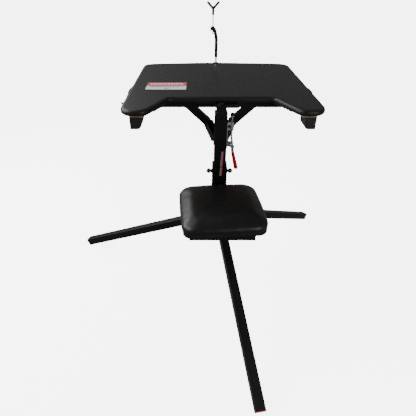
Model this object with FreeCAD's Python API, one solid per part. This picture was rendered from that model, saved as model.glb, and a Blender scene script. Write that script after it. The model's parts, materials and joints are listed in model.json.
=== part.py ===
import FreeCAD, Part
import math
import os

# Portable swivel shooting bench: a padded top with a body notch on a square-tube post, a swivelling
# column with a seat arm, and three folding legs.
# Millimetres. Origin on the floor under the post's axis, +X to the user's right, +Y away from the user,
# +Z up. The user sits at -Y, facing +Y.

V = FreeCAD.Vector
UP = V(0, 0, 1)
RIGHT = V(1, 0, 0)
AWAY = V(0, 1, 0)
BOTH_SIDES = (-1, 1)

# ---- clearances -------------------------------------------------------------------------------------
SLIDE_CLEARANCE = 0.35      # each side of a square tube inside another
RUNNING_CLEARANCE = 0.05    # radial, pins and rods that turn or slide
FACE_GAP = 0.1              # between flat faces that slide on each other
STOP_GAP = 0.3              # between a piece and the stop or tip that meets it
OVERREACH = 1.0             # how far a cutter runs past the face it cuts

# ---- legs and hub -----------------------------------------------------------------------------------
LEG_AZIMUTHS = {"front": -80.0, "right": 40.5, "left": 162.0}   # degrees from +X towards +Y
LEG_SLOPE = 25.1            # degrees below level
LEG_TUBE = 38.1
LEG_WALL = 2.0
LEG_REACH = 754.5           # pivot to the outer face of the foot plug
LEG_PIVOT_RADIUS = 78.0
LEG_HEEL = 17.0             # tube length inboard of the pivot
PLUG_HEAD = 4.0
PLUG_INSERT = 14.0
LEG_BOLT_DIA = 10.0
HUB_DIA = 76.2
HUB_WALL = 8.0
HUB_ABOVE_PIVOT = 50.7
HUB_BELOW_PIVOT = 46.0
EAR_THICK = 6.0
EAR_REACH = 30.0            # past the pivot, along the leg
EAR_HEIGHT = 54.0
STOP_WEB_THICK = 6.0
HUB_CAP_THICK = 5.0
LEG_BOLT_HEAD_DIA = 18.0
LEG_BOLT_HEAD_THICK = 6.0
LEG_BOLT_NUT_THICK = 8.0

# ---- column -----------------------------------------------------------------------------------------
SPINDLE_DIA = 25.4
SPINDLE_COLLAR_DIA = 39.4
SPINDLE_COLLAR_THICK = 12.0
SPINDLE_NUT_ACROSS = 36.0
SPINDLE_NUT_THICK = 11.0
THRUST_WASHER_THICK = 3.0
FLANGE_DIA = 96.0
FLANGE_THICK = 10.0
SLEEVE_WALL = 6.0
SLEEVE_LENGTH = 227.8
KNOB_BELOW_SLEEVE_TOP = 32.0
KNOB_BALL_DIA = 21.5
KNOB_NECK_DIA = 13.0
KNOB_REACH = 25.25          # sleeve's face to the outer end of the ball
KNOB_SCREW_DIA = 9.5
KNOB_BOSS_DIA = 19.0
KNOB_BOSS_THICK = 4.0

# ---- seat -------------------------------------------------------------------------------------------
SEAT_SIZE = 330.0
SEAT_CORNER = 45.0
SEAT_THICK = 54.5
SEAT_EDGE = 20.0
SEAT_CENTRE_Y = -213.5
SEAT_YAW = 4.75             # the seat rests turned this far, counter-clockwise from above
SEAT_FRAME_TOP = 108.0      # above the sleeve's foot
SEAT_BOARD_THICK = 12.0
SEAT_BOARD_INSET = 7.0
SEAT_PLATE_SIZE = 150.0
SEAT_PLATE_THICK = 4.0
SEAT_WASHER_GAP = 2.5
SEAT_PLATE_CORNER = 10.0
SEAT_PLATE_HOLE_DIA = 6.0
SEAT_PLATE_HOLE_INSET = 15.0
SEAT_BOLT_DIA = 16.0
SEAT_WASHER_DIA = 36.0
SEAT_NUT_ACROSS = 24.0
SEAT_NUT_THICK = 12.0
ARM_TUBE = 38.1
ARM_WALL = 3.0
CROSS_TUBE = 25.4
CROSS_WALL = 2.0
CROSS_LENGTH = 250.0
CROSS_FRONT_Y = -350.0
CROSS_REAR_Y = -112.0       # centre of the rear stubs
CROSS_CAP_HEAD = 3.0
CROSS_CAP_INSERT = 12.0

# ---- post and yoke ----------------------------------------------------------------------------------
POST_TUBE = 50.8
POST_WALL = 6.0
POST_SHOWN = 231.2          # above the sleeve, at rest
POST_IN_SLEEVE = 180.0
NECK_SHOWN = 19.0
NECK_WALL = 5.0
NECK_IN_POST = 80.0
NECK_CAP_THICK = 10.0
BRIDGE_WIDTH = 38.1
BRIDGE_THICK = 12.7
CROSSBAR_DEPTH = 38.1
CROSSBAR_HEIGHT = 25.4
CROSSBAR_WALL = 2.5
CROSSBAR_HALF = 280.0
CROSSBAR_FRONT_Y = 74.5
CROSSBAR_CAP = 3.0
CROSSBAR_CAP_INSERT = 10.0
BRACE_TUBE = 31.75
BRACE_WALL = 2.5
BRACE_TOP_X = 125.0
BRACE_BEND_X = 49.0
BRACE_BEND_DROP = 71.0      # below the crossbar's underside
BRACE_FOOT_X = 17.0
BRACE_FOOT_Y = 34.0
BRACE_FOOT_DROP = 122.0
STRAP_THICK = 3.0
STRAP_HEIGHT = 50.0
STRAP_BELOW_POST_TOP = 99.0
WEAR_PAD_X = 225.0
WEAR_PAD_LENGTH = 45.0
WEAR_PAD_WIDTH = 28.0
WEAR_PAD_CORNER = 3.0

# ---- table ------------------------------------------------------------------------------------------
BOARD_HALF_WIDTH = 382.5
BOARD_FRONT_Y = -141.0
BOARD_REAR_Y = 662.0        # at the centre of the bowed rear edge
BOARD_REAR_BOW = 22.0
BOARD_THICK = 24.0
BOARD_TOP_EDGE = 9.0
BOARD_CORE_THICK = 16.0
BOARD_COVER_SIDE = 6.0
NOTCH_Y = 22.0
NOTCH_HALF_WIDTH = 210.0
NOTCH_MOUTH_HALF_WIDTH = 284.0
FRONT_CORNER = 60.0
REAR_CORNER = 62.0
TIP_CORNER = 45.0
NOTCH_CORNER = 28.0
SWIVEL_LIMIT = 15.0         # degrees each way
SWIVEL_PLATE_THICK = 6.0
SWIVEL_WASHER = 2.0
SWIVEL_BOLT_DIA = 12.0
SWIVEL_HEAD_DIA = 24.0
SWIVEL_HEAD_THICK = 7.0
SWIVEL_WASHER_DIA = 30.0
SWIVEL_NUT_DIA = 20.0
SWIVEL_NUT_THICK = 10.0
SWIVEL_BOLT_END = 3.7       # past the nut
STOP_PIN_DIA = 8.0
STOP_PIN_RADIUS = 50.0
STOP_PIN_SHORT = 1.0        # the pin ends this far below the board
PLATE_HALF_WIDTH = 90.0
PLATE_REAR_Y = 175.0
TONGUE_FRONT_Y = -20.0
TONGUE_LEFT_X = -24.0
TONGUE_PAST_CLAMP = 22.0    # right of the clamp's axis
TONGUE_OVERLAP = 20.0       # how far the tongue runs into the plate
PLATE_SETBACK = 10.0        # plate's front edge behind the notch
PLATE_CORNER = 6.0
BUMPER_INNER_X = 303.0
BUMPER_OUTER_X = 345.0
BUMPER_DEPTH = 70.0
BUMPER_FRONT_Y = -129.0
BUMPER_HEIGHT = 46.0
BUMPER_CORNER = 16.0
BUMPER_FLANGE_THICK = 4.0
BUMPER_FLANGE_SETBACK = 6.0
SPACER_INNER_X = 291.0
SPACER_THICK = 4.5
HANDLE_LENGTH = 152.0
HANDLE_CENTRE_Y = 155.0
HANDLE_HEIGHT = 14.0
HANDLE_THICK = 5.0
HANDLE_SCREW_DIA = 9.0
HANDLE_SCREW_HEAD = 1.6
HANDLE_SCREW_INSET = 12.0
HANDLE_EDGE = 3.0
STUD_Y = 0.0
STUD_DIA = 10.0
STUD_REACH = 12.0
STUD_HEAD_THICK = 4.0

# ---- gun rest ---------------------------------------------------------------------------------------
REST_FROM_REAR = 20.0
REST_ROD_DIA = 9.5
REST_ROD_TOP = 104.0        # above the board
REST_SOCKET_DIA = 24.0
REST_SOCKET_LIP = 3.0
REST_SOCKET_LIP_DIA = 30.0
REST_SOCKET_FLOOR = 2.0
REST_WASHER_DIA = 34.0
REST_WASHER_THICK = 6.0
REST_TUBE_DIA = 15.0
REST_TUBE_FOOT = 29.0       # above the board
REST_TUBE_BEND = 128.0
REST_OFFSET = 19.0          # stem axis, to the left of the rod
REST_BLOCK_WIDTH = 17.0
REST_BLOCK_FOOT = 159.0
REST_BLOCK_TOP = 177.0
REST_BLOCK_EDGE = 2.0
REST_JOIN_RIGHT = 6.0       # where the bent tube's axis ends in the block, right of its middle
SET_SCREW_DIA = 5.0
SET_SCREW_RISE = 24.0       # above the tube's foot
SET_SCREW_PROUD = 3.5
SET_SCREW_BITE = 1.4
WING_RISE = 6.5             # above the block's foot
WING_SCREW_DIA = 5.0
WING_HUB_DIA = 9.0
WING_HUB_REACH = 5.0
WING_THICK = 3.0
WING_DEPTH = 8.0
WING_SPAN = 26.0
WING_FROM_FACE = 3.5
WING_EDGE = 1.2
REST_STEM_DIA = 6.0
REST_STEM_FOOT = 141.0
FORK_FOOT = 228.5
FORK_STEM_DIA = 12.0
FORK_CROTCH = 257.0
FORK_RISE = 30.5
FORK_HALF_SPAN = 30.0
FORK_ARM_DIA = 9.5
FORK_SOCKET = 14.0          # how far the stem enters the fork
REST_LOWER = 20.0           # how far the arm slides down its rod from rest

# ---- toggle clamp -----------------------------------------------------------------------------------
CLAMP_AXIS_OUT = 20.6       # plunger axis, from the post's right face
CLAMP_TIP_BELOW_PLATE = 27.0
CLAMP_TRAVEL = 26.7
CAP_DIA = 17.0
CAP_THICK = 8.5
PLUNGER_DIA = 7.5
PLUNGER_NUT_ACROSS = 12.0
PLUNGER_NUT_THICK = 5.0
CLAMP_FRAME_TOP = 63.0      # below the swivel plate's underside
CLAMP_FRAME_WIDTH = 24.0
CLAMP_FRAME_BELOW_PIVOT = 14.0
CLAMP_EAR_HALF = 9.0
CLAMP_EAR_PAST_PIVOT = 7.0
GUIDE_DIA = 15.0
LUG_THICK = 8.0
UPPER_LUG_HEIGHT = 12.0
LOWER_LUG_HEIGHT = 10.0
CLAMP_SCREW_DIA = 6.0
CLAMP_SCREW_HEAD = 2.5
CLAMP_SCREW_Y = 8.5
UPPER_SCREW_DROP = 24.0     # below the frame's top
LOWER_SCREW_RISE = 22.0     # above the lever's pivot
CLAMP_SHEET = 3.0
CLAMP_PIVOT_BELOW_PLATE = 158.0
CLAMP_PIVOT_OUT = 15.6      # lever pivot, from the post's right face
CRANK_SWING = 100.0         # degrees, from retracted to extended
CRANK_PIN_DIA = 4.0
PIVOT_PIN_DIA = 6.0
LINK_THICK = 2.5
LINK_RADIUS = 4.5
ROD_ABOVE_PIVOT = 24.0      # plunger rod's foot, at rest
LINK_PIN_RISE = 5.0         # above the rod's foot
CRANK_SLOT_LENGTH = 7.0
CRANK_SLOT_CLEARANCE = 1.8
CRANK_RADIUS = 8.0
KNEE_RADIUS = 6.0
KNEE_DROP = 12.0
TANG_RADIUS = 4.5
TANG_SHORT = 12.0           # the steel tang ends this far short of the grip's end
HANDLE_PLATE = 4.0
GRIP_LENGTH = 84.0
GRIP_WIDTH = 19.0
GRIP_SIDE = 3.0             # grip's thickness each side of the tang
GRIP_TAPER = 2.0
GRIP_START = 9.0            # below the lever's knee
GRIP_LEAN = 12.5            # degrees outward from hanging straight down

# ---- levels worked out from the sizes above ---------------------------------------------------------
slope = math.radians(LEG_SLOPE)
pivot_z = LEG_REACH * math.sin(slope) + LEG_TUBE / 2 * math.cos(slope)
hub_top = pivot_z + HUB_ABOVE_PIVOT
hub_foot = pivot_z - HUB_BELOW_PIVOT
flange_foot = hub_top + THRUST_WASHER_THICK + FACE_GAP
sleeve_foot = flange_foot + FLANGE_THICK
sleeve_top = sleeve_foot + SLEEVE_LENGTH
sleeve_inner = POST_TUBE + 2 * SLIDE_CLEARANCE
sleeve_outer = sleeve_inner + 2 * SLEEVE_WALL
knob_z = sleeve_top - KNOB_BELOW_SLEEVE_TOP
post_top = sleeve_top + POST_SHOWN
post_foot = sleeve_top - POST_IN_SLEEVE
neck_size = POST_TUBE - 2 * POST_WALL - 2 * SLIDE_CLEARANCE
neck_top = post_top + NECK_SHOWN
plate_foot = neck_top + SWIVEL_WASHER
board_foot = plate_foot + SWIVEL_PLATE_THICK
board_top = board_foot + BOARD_THICK
crossbar_foot = neck_top - CROSSBAR_HEIGHT
crossbar_mid_y = CROSSBAR_FRONT_Y + CROSSBAR_DEPTH / 2
frame_top = sleeve_foot + SEAT_FRAME_TOP
seat_plate_foot = frame_top + SEAT_WASHER_GAP
seat_foot = seat_plate_foot + SEAT_PLATE_THICK
seat_top = seat_foot + SEAT_THICK
rest_y = BOARD_REAR_Y - REST_FROM_REAR
knob_reach = sleeve_outer / 2 + KNOB_REACH
clamp_axis_x = POST_TUBE / 2 + CLAMP_AXIS_OUT
clamp_pivot_x = POST_TUBE / 2 + CLAMP_PIVOT_OUT
clamp_top = plate_foot - CLAMP_FRAME_TOP
clamp_tip = plate_foot - CLAMP_TIP_BELOW_PLATE
clamp_pivot_z = plate_foot - CLAMP_PIVOT_BELOW_PLATE
link_pin_z = clamp_pivot_z + ROD_ABOVE_PIVOT + LINK_PIN_RISE
guide_foot = link_pin_z + LINK_RADIUS + CLAMP_TRAVEL + STOP_GAP


# ---- helpers ----------------------------------------------------------------------------------------
def save(name, *solids):
    """Write one node: a single solid, or a group of separate ones."""
    shape = solids[0] if len(solids) == 1 else Part.makeCompound(list(solids))
    shape.exportStep("parts/%s.step" % name)


def block(low, high):
    """A box from its lowest to its highest corner."""
    size = V(*high) - V(*low)
    return Part.makeBox(size.x, size.y, size.z, V(*low))


def rod(diameter, start, end):
    """A round bar between two points."""
    start, end = V(*start), V(*end)
    return Part.makeCylinder(diameter / 2, (end - start).Length, start, end - start)


def hex_bar(across, start, end):
    """A hexagonal bar between two points, along one of the frame's axes."""
    start, end = V(*start), V(*end)
    along = end - start
    radius = across / math.sqrt(3)
    points = [V(radius * math.cos(math.radians(60 * i)), radius * math.sin(math.radians(60 * i)), 0)
              for i in range(7)]
    bar = Part.Face(Part.makePolygon(points)).extrude(UP * along.Length)
    bar.Placement = FreeCAD.Placement(start, FreeCAD.Rotation(UP, along))
    return bar


def mirrored(shape):
    """The same piece on the other side of the bench."""
    return shape.mirror(V(0, 0, 0), RIGHT)


def rounded_square(half_x, half_y, corner):
    """A rectangle with round corners, centred on the origin in the XY plane, as a face."""
    box = Part.makeBox(2 * half_x, 2 * half_y, 1, V(-half_x, -half_y, 0))
    upright = [e for e in box.Edges if abs(e.tangentAt(e.FirstParameter).z) > 0.9]
    box = box.makeFillet(corner, upright)
    return [f for f in box.Faces if f.CenterOfMass.z < 0.01][0]


def upright_tube(outer, wall, foot, top):
    """A square tube on the post's axis, its corners slightly rounded."""
    def bar(size, low, high):
        box = block((-size / 2, -size / 2, low), (size / 2, size / 2, high))
        return box.makeFillet(wall / 3, [e for e in box.Edges if abs(e.tangentAt(0).z) > 0.9])
    return bar(outer, foot, top).cut(bar(outer - 2 * wall, foot - OVERREACH, top + OVERREACH))


def bar_between(size, start, end):
    """A solid square bar between two points, two of its sides upright."""
    start, end = V(*start), V(*end)
    along = (end - start).normalize()
    side = along.cross(UP).normalize()
    rise = side.cross(along).normalize()
    corners = [start + side * (a * size / 2) + rise * (b * size / 2)
               for a, b in ((-1, -1), (1, -1), (1, 1), (-1, 1), (-1, -1))]
    return Part.Face(Part.makePolygon(corners)).extrude(end - start)


def rounded_outline(points, radii):
    """A closed wire through the points, each corner rounded by its own radius."""
    count = len(points)
    arcs = []
    for i in range(count):
        here, before, after = points[i], points[i - 1], points[(i + 1) % count]
        back, on = (before - here).normalize(), (after - here).normalize()
        half_angle = back.getAngle(on) / 2
        reach = radii[i] / math.tan(half_angle)
        middle = here + (back + on).normalize() * (radii[i] / math.sin(half_angle) - radii[i])
        arcs.append((here + back * reach, middle, here + on * reach))
    edges = []
    for i in range(count):
        first, middle, last = arcs[i]
        edges.append(Part.Arc(first, middle, last).toShape())
        edges.append(Part.LineSegment(last, arcs[(i + 1) % count][0]).toShape())
    return Part.Wire(edges)


# ---- hub and spindle --------------------------------------------------------------------------------
def leg_direction(azimuth):
    """Unit vectors of a leg: along it outward, and level across it."""
    a = math.radians(azimuth)
    along = V(math.cos(a) * math.cos(slope), math.sin(a) * math.cos(slope), -math.sin(slope))
    return along, V(-math.sin(a), math.cos(a), 0)


def leg_pivot(azimuth):
    a = math.radians(azimuth)
    return V(LEG_PIVOT_RADIUS * math.cos(a), LEG_PIVOT_RADIUS * math.sin(a), pivot_z)


def leg_box(azimuth, start, end, low, high, half_width, offset=0.0):
    """A box in a leg's own directions: along it, above its axis and across it."""
    along, across = leg_direction(azimuth)
    above = across.cross(along) * -1
    base = leg_pivot(azimuth) + along * start + above * low + across * (offset - half_width)
    corners = [base, base + along * (end - start), base + along * (end - start) + above * (high - low),
               base + above * (high - low), base]
    return Part.Face(Part.makePolygon(corners)).extrude(across * (2 * half_width))


def make_hub():
    ear_offset = LEG_TUBE / 2 + FACE_GAP + EAR_THICK / 2
    web_low = LEG_TUBE / 2 + FACE_GAP
    heel_sweep = math.hypot(LEG_HEEL, LEG_TUBE / 2) + OVERREACH
    web_start = math.sqrt(heel_sweep ** 2 - web_low ** 2)
    bore = rod(HUB_DIA - 2 * HUB_WALL, (0, 0, hub_foot - OVERREACH), (0, 0, hub_top - HUB_WALL))
    hub = rod(HUB_DIA, (0, 0, hub_foot), (0, 0, hub_top))
    for azimuth in LEG_AZIMUTHS.values():
        for side in BOTH_SIDES:
            hub = hub.fuse(leg_box(azimuth, -LEG_PIVOT_RADIUS + HUB_DIA / 4, EAR_REACH, -EAR_HEIGHT / 2,
                                   EAR_HEIGHT / 2, EAR_THICK / 2, side * ear_offset))
        hub = hub.fuse(leg_box(azimuth, web_start, EAR_REACH, web_low, web_low + STOP_WEB_THICK, ear_offset))
    hub = hub.cut(bore)
    for azimuth in LEG_AZIMUTHS.values():
        across = leg_direction(azimuth)[1]
        reach = across * (ear_offset + EAR_THICK)
        hub = hub.cut(rod(LEG_BOLT_DIA, leg_pivot(azimuth) - reach, leg_pivot(azimuth) + reach))
    hub = hub.cut(rod(SPINDLE_DIA, (0, 0, hub_foot), (0, 0, hub_top + OVERREACH)))
    return hub.removeSplitter()


def make_leg_bolts():
    half = LEG_TUBE / 2 + FACE_GAP + EAR_THICK
    bolts = []
    for azimuth in LEG_AZIMUTHS.values():
        across = leg_direction(azimuth)[1]
        centre = leg_pivot(azimuth)
        shank = rod(LEG_BOLT_DIA, centre - across * half, centre + across * half)
        head = rod(LEG_BOLT_HEAD_DIA, centre + across * half, centre + across * (half + LEG_BOLT_HEAD_THICK))
        nut = rod(LEG_BOLT_HEAD_DIA, centre - across * (half + LEG_BOLT_NUT_THICK), centre - across * half)
        bolts.append(shank.fuse([head, nut]).removeSplitter())
    return bolts


def make_base():
    save("hub", make_hub())
    cap_dia = HUB_DIA - 2 * HUB_WALL
    save("hub_cap", rod(cap_dia, (0, 0, hub_foot), (0, 0, hub_foot + HUB_CAP_THICK)))
    nut_foot = sleeve_foot + STOP_GAP
    spindle_top = nut_foot + SPINDLE_NUT_THICK
    spindle_foot = hub_top - HUB_WALL - SPINDLE_COLLAR_THICK
    spindle = rod(SPINDLE_DIA, (0, 0, spindle_foot), (0, 0, spindle_top))
    collar = rod(SPINDLE_COLLAR_DIA, (0, 0, spindle_foot), (0, 0, hub_top - HUB_WALL))
    save("spindle", spindle.fuse(collar).removeSplitter())
    nut = hex_bar(SPINDLE_NUT_ACROSS, (0, 0, nut_foot), (0, 0, spindle_top))
    save("spindle_nut", nut.cut(spindle))
    washer = rod(HUB_DIA, (0, 0, hub_top), (0, 0, hub_top + THRUST_WASHER_THICK))
    save("thrust_washer", washer.cut(spindle))
    save("leg_pivot_bolts", *make_leg_bolts())


def make_legs():
    half = LEG_TUBE / 2
    inner = half - LEG_WALL
    tube_end = LEG_REACH - PLUG_HEAD
    bore_dia = LEG_BOLT_DIA + 2 * RUNNING_CLEARANCE
    for name, azimuth in LEG_AZIMUTHS.items():
        across = leg_direction(azimuth)[1]
        tube = leg_box(azimuth, -LEG_HEEL, tube_end, -half, half, half)
        lengthwise = [e for e in tube.Edges if e.Length > tube_end]
        tube = tube.makeFillet(LEG_WALL, lengthwise)
        tube = tube.cut(leg_box(azimuth, -LEG_HEEL - OVERREACH, tube_end + OVERREACH, -inner, inner, inner))
        centre = leg_pivot(azimuth)
        tube = tube.cut(rod(bore_dia, centre - across * LEG_TUBE, centre + across * LEG_TUBE))
        save("leg_" + name, tube)
        head = leg_box(azimuth, tube_end, LEG_REACH, -half, half, half)
        insert = leg_box(azimuth, tube_end - PLUG_INSERT, tube_end, -inner, inner, inner)
        save("leg_plug_" + name, head.fuse(insert).removeSplitter())


# ---- column and seat arm ----------------------------------------------------------------------------
def make_column():
    flange = rod(FLANGE_DIA, (0, 0, flange_foot), (0, 0, sleeve_foot))
    bore_dia = SPINDLE_DIA + 2 * RUNNING_CLEARANCE
    bore = rod(bore_dia, (0, 0, flange_foot - OVERREACH), (0, 0, sleeve_foot + OVERREACH))
    save("column_flange", flange.cut(bore))

    sleeve = upright_tube(sleeve_outer, SLEEVE_WALL, sleeve_foot, sleeve_top)
    half = sleeve_outer / 2
    for side in BOTH_SIDES:
        sleeve = sleeve.fuse(rod(KNOB_BOSS_DIA, (side * (half - OVERREACH), 0, knob_z),
                                 (side * (half + KNOB_BOSS_THICK), 0, knob_z)))
    thread = KNOB_SCREW_DIA + 2 * RUNNING_CLEARANCE
    for side in BOTH_SIDES:
        sleeve = sleeve.cut(rod(thread, (side * (sleeve_inner / 2 - OVERREACH), 0, knob_z),
                                (side * (half + KNOB_BOSS_THICK + OVERREACH), 0, knob_z)))
    save("column_sleeve", sleeve.removeSplitter())

    arm_half = ARM_TUBE / 2
    arm_front = CROSS_FRONT_Y + CROSS_TUBE
    arm = block((-arm_half, arm_front, frame_top - ARM_TUBE), (arm_half, -sleeve_outer / 2, frame_top))
    hollow = block((-arm_half + ARM_WALL, arm_front - OVERREACH, frame_top - ARM_TUBE + ARM_WALL),
                   (arm_half - ARM_WALL, -sleeve_outer / 2 + OVERREACH, frame_top - ARM_WALL))
    bolt_hole = rod(SEAT_BOLT_DIA + 2 * RUNNING_CLEARANCE,
                    (0, SEAT_CENTRE_Y, frame_top - ARM_TUBE - OVERREACH),
                    (0, SEAT_CENTRE_Y, frame_top + OVERREACH))
    save("seat_arm", arm.cut(hollow).cut(bolt_hole))

    save("seat_cross_tubes", *make_cross_tubes())
    save("cross_tube_caps", *make_cross_caps())


def cross_tube(start_x, end_x, mid_y):
    half, inner = CROSS_TUBE / 2, CROSS_TUBE / 2 - CROSS_WALL
    mid_z = frame_top - half
    outer = block((start_x, mid_y - half, mid_z - half), (end_x, mid_y + half, mid_z + half))
    hollow = block((start_x - OVERREACH, mid_y - inner, mid_z - inner),
                   (end_x + OVERREACH, mid_y + inner, mid_z + inner))
    return outer.cut(hollow)


def make_cross_tubes():
    end = CROSS_LENGTH / 2 - CROSS_CAP_HEAD
    front = cross_tube(-end, end, CROSS_FRONT_Y + CROSS_TUBE / 2)
    stub = cross_tube(ARM_TUBE / 2, end, CROSS_REAR_Y)
    return [front, stub, mirrored(stub)]


def make_cross_caps():
    half, inner = CROSS_TUBE / 2, CROSS_TUBE / 2 - CROSS_WALL
    mid_z = frame_top - half
    end = CROSS_LENGTH / 2
    caps = []
    for mid_y in (CROSS_FRONT_Y + half, CROSS_REAR_Y):
        head = block((end - CROSS_CAP_HEAD, mid_y - half, mid_z - half), (end, mid_y + half, mid_z + half))
        head = head.makeFillet(CROSS_CAP_HEAD / 2, [e for e in head.Edges if e.CenterOfMass.x > end - 0.1])
        insert = block((end - CROSS_CAP_HEAD - CROSS_CAP_INSERT, mid_y - inner, mid_z - inner),
                       (end - CROSS_CAP_HEAD, mid_y + inner, mid_z + inner))
        cap = head.fuse(insert).removeSplitter()
        caps += [cap, mirrored(cap)]
    return caps


def make_knobs():
    """Ball-headed clamp screws that pin the post in the sleeve, one each side."""
    ball_x = knob_reach - KNOB_BALL_DIA / 2
    neck_x = sleeve_outer / 2 + KNOB_BOSS_THICK + STOP_GAP
    ball = Part.makeSphere(KNOB_BALL_DIA / 2, V(ball_x, 0, knob_z))
    ball = ball.fuse(rod(KNOB_NECK_DIA, (neck_x, 0, knob_z), (ball_x, 0, knob_z)))
    ball = ball.cut(rod(KNOB_SCREW_DIA, (0, 0, knob_z), (ball_x, 0, knob_z))).removeSplitter()
    screw = rod(KNOB_SCREW_DIA, (POST_TUBE / 2 + STOP_GAP, 0, knob_z), (ball_x, 0, knob_z))
    save("knob_right", ball)
    save("knob_screw_right", screw)
    save("knob_left", mirrored(ball))
    save("knob_screw_left", mirrored(screw))


# ---- seat -------------------------------------------------------------------------------------------
def make_seat():
    turn = FreeCAD.Placement(V(0, SEAT_CENTRE_Y, 0), FreeCAD.Rotation(UP, SEAT_YAW))

    def placed(shape, low_z):
        shape = shape.copy()
        shape.Placement = turn.multiply(FreeCAD.Placement(V(0, 0, low_z), FreeCAD.Rotation()))
        return shape

    half = SEAT_SIZE / 2
    pad = rounded_square(half, half, SEAT_CORNER).extrude(UP * SEAT_THICK)
    pad = pad.makeFillet(SEAT_EDGE, [e for e in pad.Edges if e.BoundBox.ZMin > SEAT_THICK - 0.01])
    board_half = half - SEAT_BOARD_INSET
    board = rounded_square(board_half, board_half, SEAT_CORNER - SEAT_BOARD_INSET)
    board = board.extrude(UP * SEAT_BOARD_THICK)
    save("seat_cushion", placed(pad.cut(board), seat_foot))
    save("seat_board", placed(board, seat_foot))
    plate_half = SEAT_PLATE_SIZE / 2
    plate = rounded_square(plate_half, plate_half, SEAT_PLATE_CORNER).extrude(UP * SEAT_PLATE_THICK)
    hole = plate_half - SEAT_PLATE_HOLE_INSET
    low, high = -OVERREACH, SEAT_PLATE_THICK + OVERREACH
    for x in BOTH_SIDES:
        for y in BOTH_SIDES:
            plate = plate.cut(rod(SEAT_PLATE_HOLE_DIA, (x * hole, y * hole, low), (x * hole, y * hole, high)))
    plate = plate.cut(rod(SEAT_BOLT_DIA, (0, 0, low), (0, 0, high)))
    save("seat_plate", placed(plate, seat_plate_foot))
    bolt_foot = frame_top - ARM_TUBE - STOP_GAP
    nut_foot = bolt_foot - SEAT_NUT_THICK
    bolt = rod(SEAT_BOLT_DIA, (0, SEAT_CENTRE_Y, nut_foot), (0, SEAT_CENTRE_Y, seat_foot))
    washer = rod(SEAT_WASHER_DIA, (0, SEAT_CENTRE_Y, frame_top + FACE_GAP),
                 (0, SEAT_CENTRE_Y, seat_plate_foot))
    nut = hex_bar(SEAT_NUT_ACROSS, (0, SEAT_CENTRE_Y, nut_foot), (0, SEAT_CENTRE_Y, bolt_foot))
    save("seat_pivot_bolt", bolt.fuse([washer, nut]).removeSplitter())


# ---- post, neck, crossbar and braces ----------------------------------------------------------------
def make_post():
    save("post_tube", upright_tube(POST_TUBE, POST_WALL, post_foot, post_top))
    neck = upright_tube(neck_size, NECK_WALL, post_top - NECK_IN_POST, neck_top - NECK_CAP_THICK)
    half = neck_size / 2
    cap = block((-half, -half, neck_top - NECK_CAP_THICK), (half, half, neck_top))
    bore = SWIVEL_BOLT_DIA + 2 * RUNNING_CLEARANCE
    neck = neck.fuse(cap).cut(rod(bore, (0, 0, post_top), (0, 0, neck_top + OVERREACH)))
    save("neck_tube", neck.removeSplitter())

    bridge = block((-BRIDGE_WIDTH / 2, half, neck_top - BRIDGE_THICK),
                   (BRIDGE_WIDTH / 2, CROSSBAR_FRONT_Y, neck_top))
    pin = rod(STOP_PIN_DIA, (0, STOP_PIN_RADIUS, neck_top - OVERREACH),
              (0, STOP_PIN_RADIUS, board_foot - STOP_PIN_SHORT))
    save("bridge_bar", bridge.fuse(pin).removeSplitter())

    tube_end = CROSSBAR_HALF - CROSSBAR_CAP
    rear_y = CROSSBAR_FRONT_Y + CROSSBAR_DEPTH
    wall = CROSSBAR_WALL
    crossbar = block((-tube_end, CROSSBAR_FRONT_Y, crossbar_foot), (tube_end, rear_y, neck_top))
    crossbar = crossbar.cut(block((-tube_end - OVERREACH, CROSSBAR_FRONT_Y + wall, crossbar_foot + wall),
                                  (tube_end + OVERREACH, rear_y - wall, neck_top - wall)))
    save("crossbar", crossbar)
    cap = block((tube_end, CROSSBAR_FRONT_Y, crossbar_foot), (CROSSBAR_HALF, rear_y, neck_top))
    insert = block((tube_end - CROSSBAR_CAP_INSERT, CROSSBAR_FRONT_Y + wall, crossbar_foot + wall),
                   (tube_end, rear_y - wall, neck_top - wall))
    cap = cap.fuse(insert).removeSplitter()
    save("crossbar_caps", cap, mirrored(cap))

    brace = make_brace()
    save("brace_right", brace)
    save("brace_left", mirrored(brace))

    strap_mid = post_top - STRAP_BELOW_POST_TOP - STRAP_HEIGHT / 2
    strap = block((POST_TUBE / 2, CLAMP_FRAME_WIDTH / 2 + STOP_GAP, strap_mid - STRAP_HEIGHT / 2),
                  (POST_TUBE / 2 + STRAP_THICK, POST_TUBE / 2, strap_mid + STRAP_HEIGHT / 2))
    save("brace_straps", mirrored(strap), strap.copy())

    pad_top = board_foot - STOP_GAP
    pad = block((WEAR_PAD_X - WEAR_PAD_LENGTH / 2, crossbar_mid_y - WEAR_PAD_WIDTH / 2, neck_top),
                (WEAR_PAD_X + WEAR_PAD_LENGTH / 2, crossbar_mid_y + WEAR_PAD_WIDTH / 2, pad_top))
    pad = pad.makeFillet(WEAR_PAD_CORNER, [e for e in pad.Edges if abs(e.tangentAt(0).z) > 0.9])
    save("wear_pads", pad, mirrored(pad))


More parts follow.
